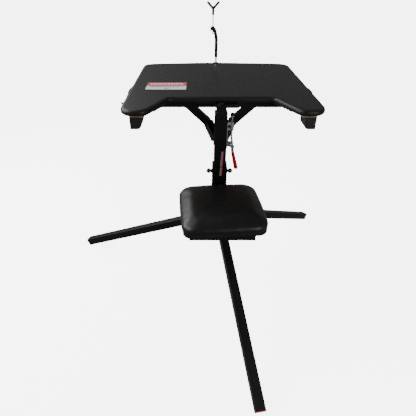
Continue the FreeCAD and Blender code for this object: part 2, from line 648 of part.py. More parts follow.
def make_brace():
    """The right brace: down and inward from the crossbar, then bent forward to the post's rear corner."""
    top = V(BRACE_TOP_X, crossbar_mid_y, crossbar_foot)
    bend = V(BRACE_BEND_X, crossbar_mid_y, crossbar_foot - BRACE_BEND_DROP)
    foot = V(BRACE_FOOT_X, BRACE_FOOT_Y, crossbar_foot - BRACE_FOOT_DROP)
    above = top + (top - bend).normalize() * BRACE_TUBE

    def shaft(size):
        upper = bar_between(size, above, bend)
        lower = bar_between(size, bend, foot)
        elbow = Part.makeSphere(size / 2, bend)
        return upper.fuse([lower, elbow])

    brace = shaft(BRACE_TUBE).cut(shaft(BRACE_TUBE - 2 * BRACE_WALL))
    beyond = 2 * BRACE_TUBE
    over = block((0, CROSSBAR_FRONT_Y - beyond, crossbar_foot),
                 (3 * BRACE_TOP_X, crossbar_mid_y + beyond, board_top))
    half = POST_TUBE / 2
    post = block((-half - beyond, -half - beyond, post_foot), (half + STRAP_THICK, half, post_top))
    far_side = block((-beyond, -beyond, post_foot), (STOP_GAP, crossbar_mid_y + beyond, post_top))
    brace = brace.cut([over, post, far_side]).removeSplitter()
    return max(brace.Solids, key=lambda s: s.Volume)


# ---- toggle clamp -----------------------------------------------------------------------------------
def crank_geometry():
    """Crank radius and the pin's place at rest. The crank swings evenly about the outward direction."""
    half_swing = math.radians(CRANK_SWING / 2)
    radius = CLAMP_TRAVEL / 2 / math.sin(half_swing)
    pin = V(clamp_pivot_x + radius * math.cos(half_swing), 0, clamp_pivot_z - radius * math.sin(half_swing))
    return radius, pin


def make_clamp_frame():
    """A folded base against the post, a plunger guide on two lugs, and two ears for the lever."""
    wide = CLAMP_FRAME_WIDTH / 2
    face = POST_TUBE / 2
    lug = LUG_THICK / 2
    base = block((face, -wide, clamp_pivot_z - CLAMP_FRAME_BELOW_PIVOT),
                 (face + CLAMP_SHEET, wide, clamp_top))
    guide = rod(GUIDE_DIA, (clamp_axis_x, 0, guide_foot), (clamp_axis_x, 0, clamp_top))
    upper_lug = block((face, -lug, clamp_top - UPPER_LUG_HEIGHT), (clamp_axis_x, lug, clamp_top))
    lower_lug = block((face, -lug, guide_foot), (clamp_axis_x, lug, guide_foot + LOWER_LUG_HEIGHT))
    frame = base.fuse([guide, upper_lug, lower_lug])
    ear_inner = HANDLE_PLATE / 2 + LINK_THICK + 2 * STOP_GAP
    ear_outer = ear_inner + CLAMP_SHEET
    ear = block((face, ear_inner, clamp_pivot_z - CLAMP_EAR_HALF),
                (clamp_pivot_x + CLAMP_EAR_PAST_PIVOT, ear_outer, clamp_pivot_z + CLAMP_EAR_HALF))
    pin = rod(PIVOT_PIN_DIA, (clamp_pivot_x, -ear_outer, clamp_pivot_z),
              (clamp_pivot_x, ear_outer, clamp_pivot_z))
    frame = frame.fuse([ear, ear.mirror(V(0, 0, 0), AWAY), pin])
    bore = rod(PLUNGER_DIA + 2 * RUNNING_CLEARANCE, (clamp_axis_x, 0, guide_foot - OVERREACH),
               (clamp_axis_x, 0, clamp_top + OVERREACH))
    return frame.cut(bore).removeSplitter()


def make_plunger():
    """Rod, jam nut, rubber cap and the pair of links with their pin; the rod's foot carries the links."""
    pin = crank_geometry()[1]
    cap_foot = clamp_tip - CAP_THICK
    nut_foot = cap_foot - PLUNGER_NUT_THICK
    rod_foot = clamp_pivot_z + ROD_ABOVE_PIVOT
    save("plunger_cap", rod(CAP_DIA, (clamp_axis_x, 0, cap_foot), (clamp_axis_x, 0, clamp_tip)))
    plunger = rod(PLUNGER_DIA, (clamp_axis_x, 0, rod_foot), (clamp_axis_x, 0, cap_foot))
    save("clamp_plunger", plunger)
    nut = hex_bar(PLUNGER_NUT_ACROSS, (clamp_axis_x, 0, nut_foot), (clamp_axis_x, 0, cap_foot))
    save("plunger_nut", nut.cut(plunger))
    near = HANDLE_PLATE / 2 + STOP_GAP
    far = near + LINK_THICK
    head = V(clamp_axis_x, 0, link_pin_z)
    links = []
    for side in BOTH_SIDES:
        plate = stadium(pin, head, LINK_RADIUS, LINK_THICK)
        plate.translate(AWAY * (side * (near + far) / 2))
        links.append(plate)
    crank_pin = rod(CRANK_PIN_DIA, (pin.x, -far, pin.z), (pin.x, far, pin.z))
    head_pin = rod(CRANK_PIN_DIA, (head.x, -far, head.z), (head.x, far, head.z))
    links = links[0].fuse([links[1], crank_pin, head_pin]).cut(plunger)
    save("clamp_links", max(links.removeSplitter().Solids, key=lambda s: s.Volume))


def stadium(start, end, radius, thick):
    """A flat bar with round ends in the XZ plane, centred on Y = 0."""
    along = end - start
    side = V(-along.z, 0, along.x).normalize() * radius
    corners = [start + side, end + side, end - side, start - side, start + side]
    body = Part.Face(Part.makePolygon([c - AWAY * (thick / 2) for c in corners])).extrude(AWAY * thick)
    ends = [Part.makeCylinder(radius, thick, p - AWAY * (thick / 2), AWAY) for p in (start, end)]
    return body.fuse(ends).removeSplitter()


def make_handle():
    """Lever plate with a slotted crank, and the vinyl grip on its tail."""
    pivot = V(clamp_pivot_x, 0, clamp_pivot_z)
    radius, pin = crank_geometry()
    lean = math.radians(GRIP_LEAN)
    hang = V(math.sin(lean), 0, -math.cos(lean))
    knee = V(pin.x, 0, pivot.z - radius - KNEE_DROP)
    grip_top = knee + hang * GRIP_START
    grip_end = grip_top + hang * GRIP_LENGTH
    plate = stadium(pivot, pin, CRANK_RADIUS, HANDLE_PLATE)
    plate = plate.fuse([stadium(pin, knee, KNEE_RADIUS, HANDLE_PLATE),
                        stadium(knee, grip_end - hang * TANG_SHORT, TANG_RADIUS, HANDLE_PLATE)])
    outward = (pin - pivot).normalize()
    slot_half = CRANK_PIN_DIA / 2 + CRANK_SLOT_CLEARANCE
    plate = plate.cut(stadium(pin - outward * CRANK_SLOT_LENGTH, pin, slot_half, 2 * HANDLE_PLATE))
    hole = PIVOT_PIN_DIA / 2 + RUNNING_CLEARANCE
    plate = plate.cut(Part.makeCylinder(hole, 2 * HANDLE_PLATE, pivot - AWAY * HANDLE_PLATE, AWAY))
    grip = stadium(grip_top, grip_end - hang * (GRIP_WIDTH / 2), GRIP_WIDTH / 2 - GRIP_TAPER,
                   HANDLE_PLATE + 2 * GRIP_SIDE)
    save("clamp_grip", grip.cut(plate))
    save("clamp_handle", plate.removeSplitter())


def make_clamp():
    save("clamp_frame", make_clamp_frame())
    make_plunger()
    make_handle()
    face = POST_TUBE / 2 + CLAMP_SHEET
    screws = []
    for z in (clamp_top - UPPER_SCREW_DROP, clamp_pivot_z + LOWER_SCREW_RISE):
        for side in BOTH_SIDES:
            y = side * CLAMP_SCREW_Y
            screws.append(rod(CLAMP_SCREW_DIA, (face, y, z), (face + CLAMP_SCREW_HEAD, y, z)))
    save("clamp_screws", *screws)


# ---- table ------------------------------------------------------------------------------------------
def board_outline(inset):
    """The board's edge seen from above, drawn in from its outer size by the inset."""
    wide = BOARD_HALF_WIDTH - inset
    front = BOARD_FRONT_Y + inset
    notch = NOTCH_Y + inset
    lean = math.atan2(NOTCH_MOUTH_HALF_WIDTH - NOTCH_HALF_WIDTH, NOTCH_Y - BOARD_FRONT_Y)
    shift = inset / math.cos(lean)

    def notch_x(y):
        return NOTCH_HALF_WIDTH + (NOTCH_Y - y) * math.tan(lean) + shift

    rear = BOARD_REAR_Y - inset - BOARD_REAR_BOW
    right = [(notch_x(notch), notch, NOTCH_CORNER + inset), (notch_x(front), front, TIP_CORNER - inset),
             (wide, front, FRONT_CORNER - inset), (wide, rear, REAR_CORNER - inset)]
    corners = [(-x, y, r) for x, y, r in right] + [(x, y, r) for x, y, r in reversed(right)]
    wire = rounded_outline([V(x, y, 0) for x, y, _ in corners], [r for _, _, r in corners])
    plain = Part.Face(wire)
    # The rear edge bows outward as one shallow arc between its two corners.
    half = wide - REAR_CORNER + inset
    bow = Part.Wire([Part.Arc(V(-half, rear, 0), V(0, rear + BOARD_REAR_BOW, 0), V(half, rear, 0)).toShape(),
                     Part.LineSegment(V(half, rear, 0), V(-half, rear, 0)).toShape()])
    return plain.fuse(Part.Face(bow)).removeSplitter().Faces[0]


def board_slab(inset, foot, thick):
    slab = board_outline(inset).extrude(UP * thick)
    slab.translate(V(0, 0, foot))
    return slab


def make_board():
    outer = board_slab(0.0, board_foot, BOARD_THICK)
    top_edges = [e for e in outer.Edges if e.BoundBox.ZMin > board_top - 0.01]
    outer = outer.makeFillet(BOARD_TOP_EDGE, top_edges)
    socket_hole = rod(REST_SOCKET_DIA, (0, rest_y, board_foot - OVERREACH), (0, rest_y, board_top))
    core = board_slab(BOARD_COVER_SIDE, board_foot, BOARD_CORE_THICK)
    lip_hole = rod(REST_SOCKET_LIP_DIA, (0, rest_y, board_foot + BOARD_CORE_THICK),
                   (0, rest_y, board_top + OVERREACH))
    save("table_cover", outer.cut([core, lip_hole]))
    save("table_core", core.cut(socket_hole))


def stop_slot():
    """The arc slot that the stop pin runs in, as a cutter through the swivel plate."""
    limit = math.radians(SWIVEL_LIMIT) + STOP_GAP / STOP_PIN_RADIUS
    width = STOP_PIN_DIA / 2 + STOP_GAP
    low = plate_foot - OVERREACH
    tall = SWIVEL_PLATE_THICK + 2 * OVERREACH
    outer = Part.makeCylinder(STOP_PIN_RADIUS + width, tall, V(0, 0, low), UP, math.degrees(2 * limit))
    inner = Part.makeCylinder(STOP_PIN_RADIUS - width, tall, V(0, 0, low), UP, math.degrees(2 * limit))
    ring = outer.cut(inner)
    ring.rotate(V(0, 0, 0), UP, 90 - math.degrees(limit))
    ends = []
    for side in BOTH_SIDES:
        angle = math.pi / 2 + side * limit
        place = V(STOP_PIN_RADIUS * math.cos(angle), STOP_PIN_RADIUS * math.sin(angle), low)
        ends.append(Part.makeCylinder(width, tall, place, UP))
    return ring.fuse(ends)


def make_swivel():
    plate_front = NOTCH_Y + PLATE_SETBACK
    under = block((-PLATE_HALF_WIDTH, plate_front, plate_foot), (PLATE_HALF_WIDTH, PLATE_REAR_Y, board_foot))
    tongue = block((TONGUE_LEFT_X, TONGUE_FRONT_Y, plate_foot),
                   (clamp_axis_x + TONGUE_PAST_CLAMP, plate_front + TONGUE_OVERLAP, board_foot))
    plate = under.fuse(tongue).removeSplitter()
    plate = plate.makeFillet(PLATE_CORNER, [e for e in plate.Edges if abs(e.tangentAt(0).z) > 0.9])
    bolt_hole = rod(SWIVEL_BOLT_DIA, (0, 0, plate_foot - OVERREACH), (0, 0, board_foot + OVERREACH))
    save("swivel_plate", plate.cut(stop_slot()).cut(bolt_hole))
    head = hex_bar(SWIVEL_HEAD_DIA, (0, 0, board_foot), (0, 0, board_foot + SWIVEL_HEAD_THICK))
    washer = rod(SWIVEL_WASHER_DIA, (0, 0, neck_top + FACE_GAP), (0, 0, plate_foot))
    nut_top = neck_top - NECK_CAP_THICK - STOP_GAP
    nut_foot = nut_top - SWIVEL_NUT_THICK
    nut = rod(SWIVEL_NUT_DIA, (0, 0, nut_foot), (0, 0, nut_top))
    shank = rod(SWIVEL_BOLT_DIA, (0, 0, nut_foot - SWIVEL_BOLT_END), (0, 0, board_foot))
    save("swivel_bolt", head.fuse([shank, washer, nut]).removeSplitter())


def make_table_trim():
    bumper_top = board_foot - SPACER_THICK
    rear_y = BUMPER_FRONT_Y + BUMPER_DEPTH
    bumper_foot = bumper_top - BUMPER_HEIGHT
    bumper = block((BUMPER_INNER_X, BUMPER_FRONT_Y, bumper_foot), (BUMPER_OUTER_X, rear_y, bumper_top))
    low_inner = [e for e in bumper.Edges if e.BoundBox.XMax < BUMPER_INNER_X + 0.1
                 and e.BoundBox.ZMax < bumper_foot + 0.1]
    bumper = bumper.makeFillet(BUMPER_CORNER, low_inner)
    flange = block((SPACER_INNER_X, BUMPER_FRONT_Y + BUMPER_FLANGE_SETBACK, bumper_top - BUMPER_FLANGE_THICK),
                   (BUMPER_INNER_X, rear_y, bumper_top))
    bumper = bumper.fuse(flange).removeSplitter()
    save("tip_bumpers", mirrored(bumper), bumper.copy())
    spacer = block((SPACER_INNER_X, BUMPER_FRONT_Y, bumper_top), (BUMPER_OUTER_X, rear_y, board_foot))
    save("tip_spacers", mirrored(spacer), spacer.copy())

    # A webbing carrying handle lies flat along each side edge, held by a screw near each end.
    inner_x = BOARD_HALF_WIDTH
    mid_z = board_foot + (BOARD_THICK - BOARD_TOP_EDGE) / 2
    strap = block((inner_x, HANDLE_CENTRE_Y - HANDLE_LENGTH / 2, mid_z - HANDLE_HEIGHT / 2),
                  (inner_x + HANDLE_THICK, HANDLE_CENTRE_Y + HANDLE_LENGTH / 2, mid_z + HANDLE_HEIGHT / 2))
    outer_edges = [e for e in strap.Edges if e.BoundBox.XMin > inner_x + HANDLE_THICK / 2]
    strap = strap.makeFillet(HANDLE_EDGE, outer_edges)
    save("side_handles", mirrored(strap), strap.copy())
    screws = []
    screw_x = inner_x + HANDLE_THICK
    for end in BOTH_SIDES:
        y = HANDLE_CENTRE_Y + end * (HANDLE_LENGTH / 2 - HANDLE_SCREW_INSET)
        screw = rod(HANDLE_SCREW_DIA, (screw_x, y, mid_z), (screw_x + HANDLE_SCREW_HEAD, y, mid_z))
        screws += [screw, mirrored(screw)]
    save("handle_screws", *screws)

    stud_end = -inner_x - STUD_REACH
    head_start = stud_end + STUD_HEAD_THICK
    stud = rod(STUD_DIA / 2, (-inner_x, STUD_Y, mid_z), (head_start, STUD_Y, mid_z))
    head = rod(STUD_DIA, (head_start, STUD_Y, mid_z), (stud_end, STUD_Y, mid_z))
    save("edge_stud", stud.fuse(head).removeSplitter())


# ---- gun rest ---------------------------------------------------------------------------------------
def make_rest_socket():
    """Bushing through the board, its lip on the core, a washer below and a closed floor, and its rod."""
    washer_foot = board_foot - REST_WASHER_THICK
    bore_foot = washer_foot + REST_SOCKET_FLOOR
    lip_top = board_top + REST_SOCKET_LIP
    socket = rod(REST_SOCKET_DIA, (0, rest_y, washer_foot), (0, rest_y, board_top))
    lip = rod(REST_SOCKET_LIP_DIA, (0, rest_y, board_foot + BOARD_CORE_THICK), (0, rest_y, lip_top))
    washer = rod(REST_WASHER_DIA, (0, rest_y, washer_foot), (0, rest_y, board_foot))
    hole = rod(REST_ROD_DIA + 2 * RUNNING_CLEARANCE, (0, rest_y, bore_foot), (0, rest_y, lip_top + OVERREACH))
    save("rest_socket", socket.fuse([lip, washer]).cut(hole).removeSplitter())
    rod_top = board_top + REST_ROD_TOP
    save("rest_rod", rod(REST_ROD_DIA, (0, rest_y, bore_foot + FACE_GAP), (0, rest_y, rod_top)))


def make_rest_arm():
    """Tube that slides on the rod and bends left to a clamp block, with its set screw and wing screw."""
    tube_foot = board_top + REST_TUBE_FOOT
    bend = V(0, rest_y, board_top + REST_TUBE_BEND)
    half = REST_BLOCK_WIDTH / 2
    block_foot = board_top + REST_BLOCK_FOOT
    block_top = board_top + REST_BLOCK_TOP
    join = V(-REST_OFFSET + REST_JOIN_RIGHT, rest_y, (block_foot + block_top) / 2)
    body = block((-REST_OFFSET - half, rest_y - half, block_foot),
                 (-REST_OFFSET + half, rest_y + half, block_top))
    tube = rod(REST_TUBE_DIA, (0, rest_y, tube_foot), bend)
    tube = tube.fuse([Part.makeSphere(REST_TUBE_DIA / 2, bend), rod(REST_TUBE_DIA, bend, join)])
    bore_top = board_top + REST_ROD_TOP + REST_LOWER + STOP_GAP
    bore = rod(REST_ROD_DIA + 2 * RUNNING_CLEARANCE, (0, rest_y, tube_foot - OVERREACH),
               (0, rest_y, bore_top))
    side = rest_y - REST_TUBE_DIA / 2
    set_z = tube_foot + SET_SCREW_RISE
    set_screw = rod(SET_SCREW_DIA, (0, side - SET_SCREW_PROUD, set_z), (0, side + SET_SCREW_BITE, set_z))
    stem_bore = rod(REST_STEM_DIA + 2 * RUNNING_CLEARANCE, (-REST_OFFSET, rest_y, bend.z),
                    (-REST_OFFSET, rest_y, block_top + OVERREACH))
    tube = tube.cut([bore, body, set_screw, stem_bore])
    save("rest_set_screw", set_screw)
    save("rest_arm", max(tube.removeSplitter().Solids, key=lambda s: s.Volume))

    wing_z = block_foot + WING_RISE
    face = -REST_OFFSET - half
    thread_hole = rod(WING_SCREW_DIA + 2 * RUNNING_CLEARANCE, (-REST_OFFSET, rest_y, wing_z),
                      (face - OVERREACH, rest_y, wing_z))
    body = body.makeFillet(REST_BLOCK_EDGE, body.Edges)
    save("rest_block", body.cut(stem_bore).cut(thread_hole))
    screw_tip = -REST_OFFSET - REST_STEM_DIA / 2 - STOP_GAP
    screw = rod(WING_SCREW_DIA, (screw_tip, rest_y, wing_z), (face - WING_FROM_FACE, rest_y, wing_z))
    hub = rod(WING_HUB_DIA, (face - STOP_GAP, rest_y, wing_z), (face - WING_HUB_REACH, rest_y, wing_z))
    wing = Part.makeBox(WING_THICK, WING_DEPTH, WING_SPAN,
                        V(face - WING_FROM_FACE, rest_y - WING_DEPTH / 2, wing_z - WING_SPAN / 2))
    wing = wing.makeFillet(WING_EDGE, [e for e in wing.Edges if e.Length > WING_DEPTH - 1.0])
    save("wing_screw", screw.fuse([hub, wing]).removeSplitter())


def make_fork():
    """The stem that slides in the clamp block, and the V fork that turns on its top."""
    fork_foot = board_top + FORK_FOOT
    stem_top = fork_foot + FORK_SOCKET
    stem_foot = board_top + REST_STEM_FOOT
    save("rest_stem", rod(REST_STEM_DIA, (-REST_OFFSET, rest_y, stem_foot), (-REST_OFFSET, rest_y, stem_top)))
    crotch = V(-REST_OFFSET, rest_y, board_top + FORK_CROTCH)
    fork = rod(FORK_STEM_DIA, (-REST_OFFSET, rest_y, fork_foot), crotch)
    fork = fork.fuse(Part.makeSphere(FORK_STEM_DIA / 2, crotch))
    for side in BOTH_SIDES:
        tip = crotch + V(side * FORK_HALF_SPAN, 0, FORK_RISE)
        fork = fork.fuse([rod(FORK_ARM_DIA, crotch, tip), Part.makeSphere(FORK_ARM_DIA / 2, tip)])
    socket = rod(REST_STEM_DIA + 2 * RUNNING_CLEARANCE, (-REST_OFFSET, rest_y, fork_foot - OVERREACH),
                 (-REST_OFFSET, rest_y, stem_top + STOP_GAP))
    save("fork", fork.cut(socket).removeSplitter())


os.makedirs("parts", exist_ok=True)
make_base()
make_legs()
make_column()
make_knobs()
make_seat()
make_post()
make_clamp()
make_board()
make_swivel()
make_table_trim()
make_rest_socket()
make_rest_arm()
make_fork()
print("levels", round(pivot_z, 2), round(sleeve_top, 2), round(post_top, 2), round(board_top, 2),
      round(seat_top, 2), round(knob_z, 2))
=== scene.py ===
import json
import math
import random

import bmesh
import bpy
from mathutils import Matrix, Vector, noise
from mathutils.bvhtree import BVHTree
from mathutils.kdtree import KDTree


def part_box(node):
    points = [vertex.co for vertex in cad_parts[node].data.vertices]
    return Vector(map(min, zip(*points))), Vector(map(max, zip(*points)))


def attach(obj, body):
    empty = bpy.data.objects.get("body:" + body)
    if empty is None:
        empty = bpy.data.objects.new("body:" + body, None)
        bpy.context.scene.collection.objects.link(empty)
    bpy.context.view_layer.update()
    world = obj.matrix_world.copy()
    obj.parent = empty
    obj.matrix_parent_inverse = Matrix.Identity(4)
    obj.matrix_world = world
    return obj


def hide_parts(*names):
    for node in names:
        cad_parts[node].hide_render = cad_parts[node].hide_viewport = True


# Portable swivel shooting bench: the looks that go round the CAD frame. Metres, in the CAD's own frame.
random.seed(7)
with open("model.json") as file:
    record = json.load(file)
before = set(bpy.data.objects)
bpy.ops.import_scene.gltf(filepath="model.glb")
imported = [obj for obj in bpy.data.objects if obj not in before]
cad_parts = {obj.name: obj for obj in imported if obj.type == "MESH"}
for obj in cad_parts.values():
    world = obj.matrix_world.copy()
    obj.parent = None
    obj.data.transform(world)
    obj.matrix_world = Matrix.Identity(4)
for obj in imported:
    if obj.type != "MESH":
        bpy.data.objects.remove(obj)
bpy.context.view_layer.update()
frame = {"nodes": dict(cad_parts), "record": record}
nodes = frame["nodes"]
scene = bpy.context.scene

board_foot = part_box("table_core")[0].z
cover_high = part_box("table_cover")[1]
board_top = cover_high.z
seat_low, seat_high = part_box("seat_cushion")
seat_board_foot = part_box("seat_board")[0].z
post_low, post_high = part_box("post_tube")
sleeve_low, sleeve_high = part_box("column_sleeve")
plate_low, plate_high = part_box("swivel_plate")
SEAT_YAW = math.radians(4.75)
SLEEVE_HALF = 0.03175
CROSS_TUBE_Y = -0.112
CROSS_TUBE_HALF = 0.0127
BRACE_INNER, BRACE_OUTER = 0.1017, 0.1483
BRACE_HALF_DEPTH = 0.0159
CLAMP_PIVOT_X, CLAMP_PIVOT_Z = 0.041, 0.72311
seat_centre = Vector(((seat_low.x + seat_high.x) / 2, (seat_low.y + seat_high.y) / 2, 0))


# ---- materials ----------------------------------------------------------------------------------------
def new_material(name):
    material = bpy.data.materials.new(name)
    material.use_nodes = True
    tree = material.node_tree
    return material, tree, tree.nodes["Principled BSDF"]


def object_coords(tree, stretch=(1, 1, 1)):
    coords = tree.nodes.new("ShaderNodeTexCoord")
    mapping = tree.nodes.new("ShaderNodeMapping")
    mapping.inputs["Scale"].default_value = stretch
    tree.links.new(coords.outputs["Object"], mapping.inputs["Vector"])
    return mapping.outputs["Vector"]


def noise_node(tree, vector, scale, detail=3.0, rough=0.5):
    node = tree.nodes.new("ShaderNodeTexNoise")
    node.inputs["Scale"].default_value = scale
    node.inputs["Detail"].default_value = detail
    node.inputs["Roughness"].default_value = rough
    tree.links.new(vector, node.inputs["Vector"])
    return node.outputs["Fac"]


def ramp(tree, factor, stops):
    node = tree.nodes.new("ShaderNodeValToRGB")
    while len(node.color_ramp.elements) < len(stops):
        node.color_ramp.elements.new(0.5)
    for element, (place, colour) in zip(node.color_ramp.elements, stops):
        element.position = place
        element.color = (*colour, 1)
    tree.links.new(factor, node.inputs["Fac"])
    return node.outputs["Color"]


def spread(tree, factor, low, high):
    node = tree.nodes.new("ShaderNodeMapRange")
    node.inputs["From Min"].default_value = 0.3
    node.inputs["From Max"].default_value = 0.7
    node.inputs["To Min"].default_value = low
    node.inputs["To Max"].default_value = high
    tree.links.new(factor, node.inputs["Value"])
    return node.outputs["Result"]


def bump(tree, shader, height, strength, distance=0.001):
    node = tree.nodes.new("ShaderNodeBump")
    node.inputs["Strength"].default_value = strength
    node.inputs["Distance"].default_value = distance
    tree.links.new(height, node.inputs["Height"])
    tree.links.new(node.outputs["Normal"], shader.inputs["Normal"])
    return node


def coated(name, dark, light, rough, grain, strength, patch=9.0, metal=0.0, specular=0.5, coat=0.0):
    """Paint, plastic or metal: slow patches in colour, finer ones in roughness, and a fine texture."""
    material, tree, shader = new_material(name)
    where = object_coords(tree)
    tree.links.new(ramp(tree, noise_node(tree, where, patch), [(0.3, dark), (0.7, light)]),
                   shader.inputs["Base Color"])
    tree.links.new(spread(tree, noise_node(tree, where, patch * 6), *rough), shader.inputs["Roughness"])
    shader.inputs["Metallic"].default_value = metal
    shader.inputs["Specular IOR Level"].default_value = specular
    shader.inputs["Coat Weight"].default_value = coat
    shader.inputs["Coat Roughness"].default_value = 0.12
    bump(tree, shader, noise_node(tree, where, grain, 2.0), strength)
    return material


def vinyl(name, dark, light, rough, specular):
    """Upholstery vinyl: cells of leather-like grain over a slow unevenness."""
    material, tree, shader = new_material(name)
    where = object_coords(tree)
    cells = tree.nodes.new("ShaderNodeTexVoronoi")
    cells.inputs["Scale"].default_value = 620
    tree.links.new(where, cells.inputs["Vector"])
    slow = noise_node(tree, where, 14, 4)
    tree.links.new(ramp(tree, slow, [(0.3, dark), (0.7, light)]), shader.inputs["Base Color"])
    tree.links.new(spread(tree, noise_node(tree, where, 55, 4), *rough), shader.inputs["Roughness"])
    shader.inputs["Specular IOR Level"].default_value = specular
    first = bump(tree, shader, cells.outputs["Distance"], 0.10, 0.0003)
    second = tree.nodes.new("ShaderNodeBump")
    second.inputs["Strength"].default_value = 0.05
    second.inputs["Distance"].default_value = 0.0012
    tree.links.new(slow, second.inputs["Height"])
    tree.links.new(second.outputs["Normal"], first.inputs["Normal"])
    return material


def threaded(name, pitch):
    """Bright steel with a thread: fine rings across Z."""
    material, tree, shader = new_material(name)
    where = object_coords(tree)
    rings = tree.nodes.new("ShaderNodeTexWave")
    rings.bands_direction = "Z"
    rings.inputs["Scale"].default_value = 0.314 / pitch
    rings.inputs["Distortion"].default_value = 0.0
    tree.links.new(where, rings.inputs["Vector"])
    tree.links.new(ramp(tree, rings.outputs["Fac"], [(0.2, (0.22, 0.22, 0.23)), (0.8, (0.72, 0.72, 0.74))]),
                   shader.inputs["Base Color"])
    tree.links.new(spread(tree, noise_node(tree, where, 300), 0.22, 0.38), shader.inputs["Roughness"])
    shader.inputs["Metallic"].default_value = 1.0
    bump(tree, shader, rings.outputs["Fac"], 0.7, 0.0006)
    return material


def plywood(name):
    """Birch ply: long grain with darker streaks on the faces."""
    material, tree, shader = new_material(name)
    where = object_coords(tree, (2.0, 26.0, 60.0))
    streaks = noise_node(tree, where, 5, 8, 0.6)
    tree.links.new(ramp(tree, streaks, [(0.25, (0.30, 0.18, 0.09)), (0.55, (0.56, 0.39, 0.23)),
                                        (0.8, (0.66, 0.49, 0.31))]), shader.inputs["Base Color"])
    tree.links.new(spread(tree, streaks, 0.5, 0.75), shader.inputs["Roughness"])
    bump(tree, shader, streaks, 0.25, 0.0006)
    return material


def wrapped_board(name):
    """Birch ply with the cover's black vinyl pulled over its edges: bare ply underneath only."""
    material = plywood(name)
    tree = material.node_tree
    shader = tree.nodes["Principled BSDF"]
    grain = shader.inputs["Base Color"].links[0].from_socket
    geometry = tree.nodes.new("ShaderNodeNewGeometry")
    apart = tree.nodes.new("ShaderNodeSeparateXYZ")
    level = tree.nodes.new("ShaderNodeMath")
    level.operation = "LESS_THAN"
    level.inputs[1].default_value = -0.5
    mix = tree.nodes.new("ShaderNodeMix")
    mix.data_type = "RGBA"
    tree.links.new(geometry.outputs["True Normal"], apart.inputs[0])
    tree.links.new(apart.outputs["Z"], level.inputs[0])
    tree.links.new(level.outputs[0], mix.inputs["Factor"])
    mix.inputs["A"].default_value = (0.004, 0.004, 0.004, 1)
    tree.links.new(grain, mix.inputs["B"])
    tree.links.new(mix.outputs["Result"], shader.inputs["Base Color"])
    return material


def woven(name, dark, light):
    """Nylon webbing: crossed ribs."""
    material, tree, shader = new_material(name)
    where = object_coords(tree)
    ribs = []
    for direction, scale in (("Y", 160), ("Z", 220)):
        wave = tree.nodes.new("ShaderNodeTexWave")
        wave.bands_direction = direction
        wave.inputs["Scale"].default_value = scale
        wave.inputs["Distortion"].default_value = 0.4
        tree.links.new(where, wave.inputs["Vector"])
        ribs.append(wave.outputs["Fac"])
    both = tree.nodes.new("ShaderNodeMath")
    both.operation = "MULTIPLY"
    tree.links.new(ribs[0], both.inputs[0])
    tree.links.new(ribs[1], both.inputs[1])
    tree.links.new(ramp(tree, both.outputs[0], [(0.1, dark), (0.7, light)]), shader.inputs["Base Color"])
    tree.links.new(spread(tree, both.outputs[0], 0.85, 0.6), shader.inputs["Roughness"])
    bump(tree, shader, both.outputs[0], 0.8, 0.0006)
    return material


BLACK_LOW, BLACK_HIGH = (0.0025, 0.0025, 0.0027), (0.0055, 0.0052, 0.0055)
finish = {
    "black_steel": coated("powder_coat", BLACK_LOW, BLACK_HIGH, (0.36, 0.5), 1500, 0.10, specular=0.25),
    "vinyl": vinyl("table_vinyl", (0.0036, 0.0034, 0.0032), (0.0062, 0.0058, 0.0055), (0.40, 0.54), 0.35),
    "plywood": plywood("birch_plywood"),
    "red_plastic": coated("red_plastic", (0.42, 0.012, 0.012), (0.55, 0.02, 0.018), (0.32, 0.45), 900, 0.06),
    "zinc": coated("zinc_plate", (0.46, 0.46, 0.47), (0.74, 0.74, 0.75), (0.2, 0.36), 700, 0.08, 60, 1.0),
    "steel": coated("bright_steel", (0.5, 0.5, 0.52), (0.7, 0.7, 0.72), (0.16, 0.3), 1200, 0.05, 40, 1.0),
    "bronze": coated("bearing_bronze", (0.40, 0.22, 0.08), (0.56, 0.33, 0.13), (0.26, 0.42), 500, 0.08, 50,
                     1.0),
    "grip_red": coated("dipped_red", (0.52, 0.004, 0.004), (0.68, 0.008, 0.006), (0.22, 0.34), 400, 0.10,
                       coat=0.4),
    "rubber": coated("black_rubber", (0.011, 0.011, 0.012), (0.022, 0.022, 0.022), (0.6, 0.8), 700, 0.22,
                     specular=0.3),
    "knob_black": coated("knob_phenolic", (0.005, 0.005, 0.006), (0.009, 0.009, 0.010), (0.07, 0.16), 300,
                         0.03, coat=0.7),
    "pad_plastic": coated("slide_plastic", (0.05, 0.05, 0.05), (0.09, 0.09, 0.09), (0.35, 0.5), 600, 0.08),
    "webbing": woven("nylon_webbing", (0.004, 0.004, 0.004), (0.022, 0.022, 0.023)),
    "dip_black": coated("dipped_black", (0.006, 0.006, 0.006), (0.011, 0.011, 0.011), (0.28, 0.42), 500, 0.12,
                        coat=0.3),
}
seat_vinyl = vinyl("seat_vinyl", (0.0006, 0.0006, 0.0006), (0.0014, 0.0013, 0.0013), (0.36, 0.46), 0.42)
wrap_vinyl = vinyl("wrapped_vinyl", (0.014, 0.013, 0.013), (0.022, 0.021, 0.021), (0.6, 0.75), 0.3)
weld_steel = coated("painted_weld", BLACK_LOW, (0.016, 0.016, 0.017), (0.3, 0.55), 500, 0.3, 120)
thread_steel = threaded("threaded_steel", 0.0012)
print_red = coated("printed_red", (0.50, 0.06, 0.07), (0.60, 0.10, 0.11), (0.35, 0.5), 1500, 0.02)
print_white = coated("printed_white", (0.72, 0.72, 0.72), (0.82, 0.82, 0.82), (0.35, 0.5), 1500, 0.02)
print_grey = coated("printed_grey", (0.10, 0.10, 0.11), (0.16, 0.16, 0.17), (0.4, 0.5), 1500, 0.02)
tape_silver = coated("tape_silver", (0.16, 0.18, 0.19), (0.26, 0.28, 0.30), (0.25, 0.4), 900, 0.05)
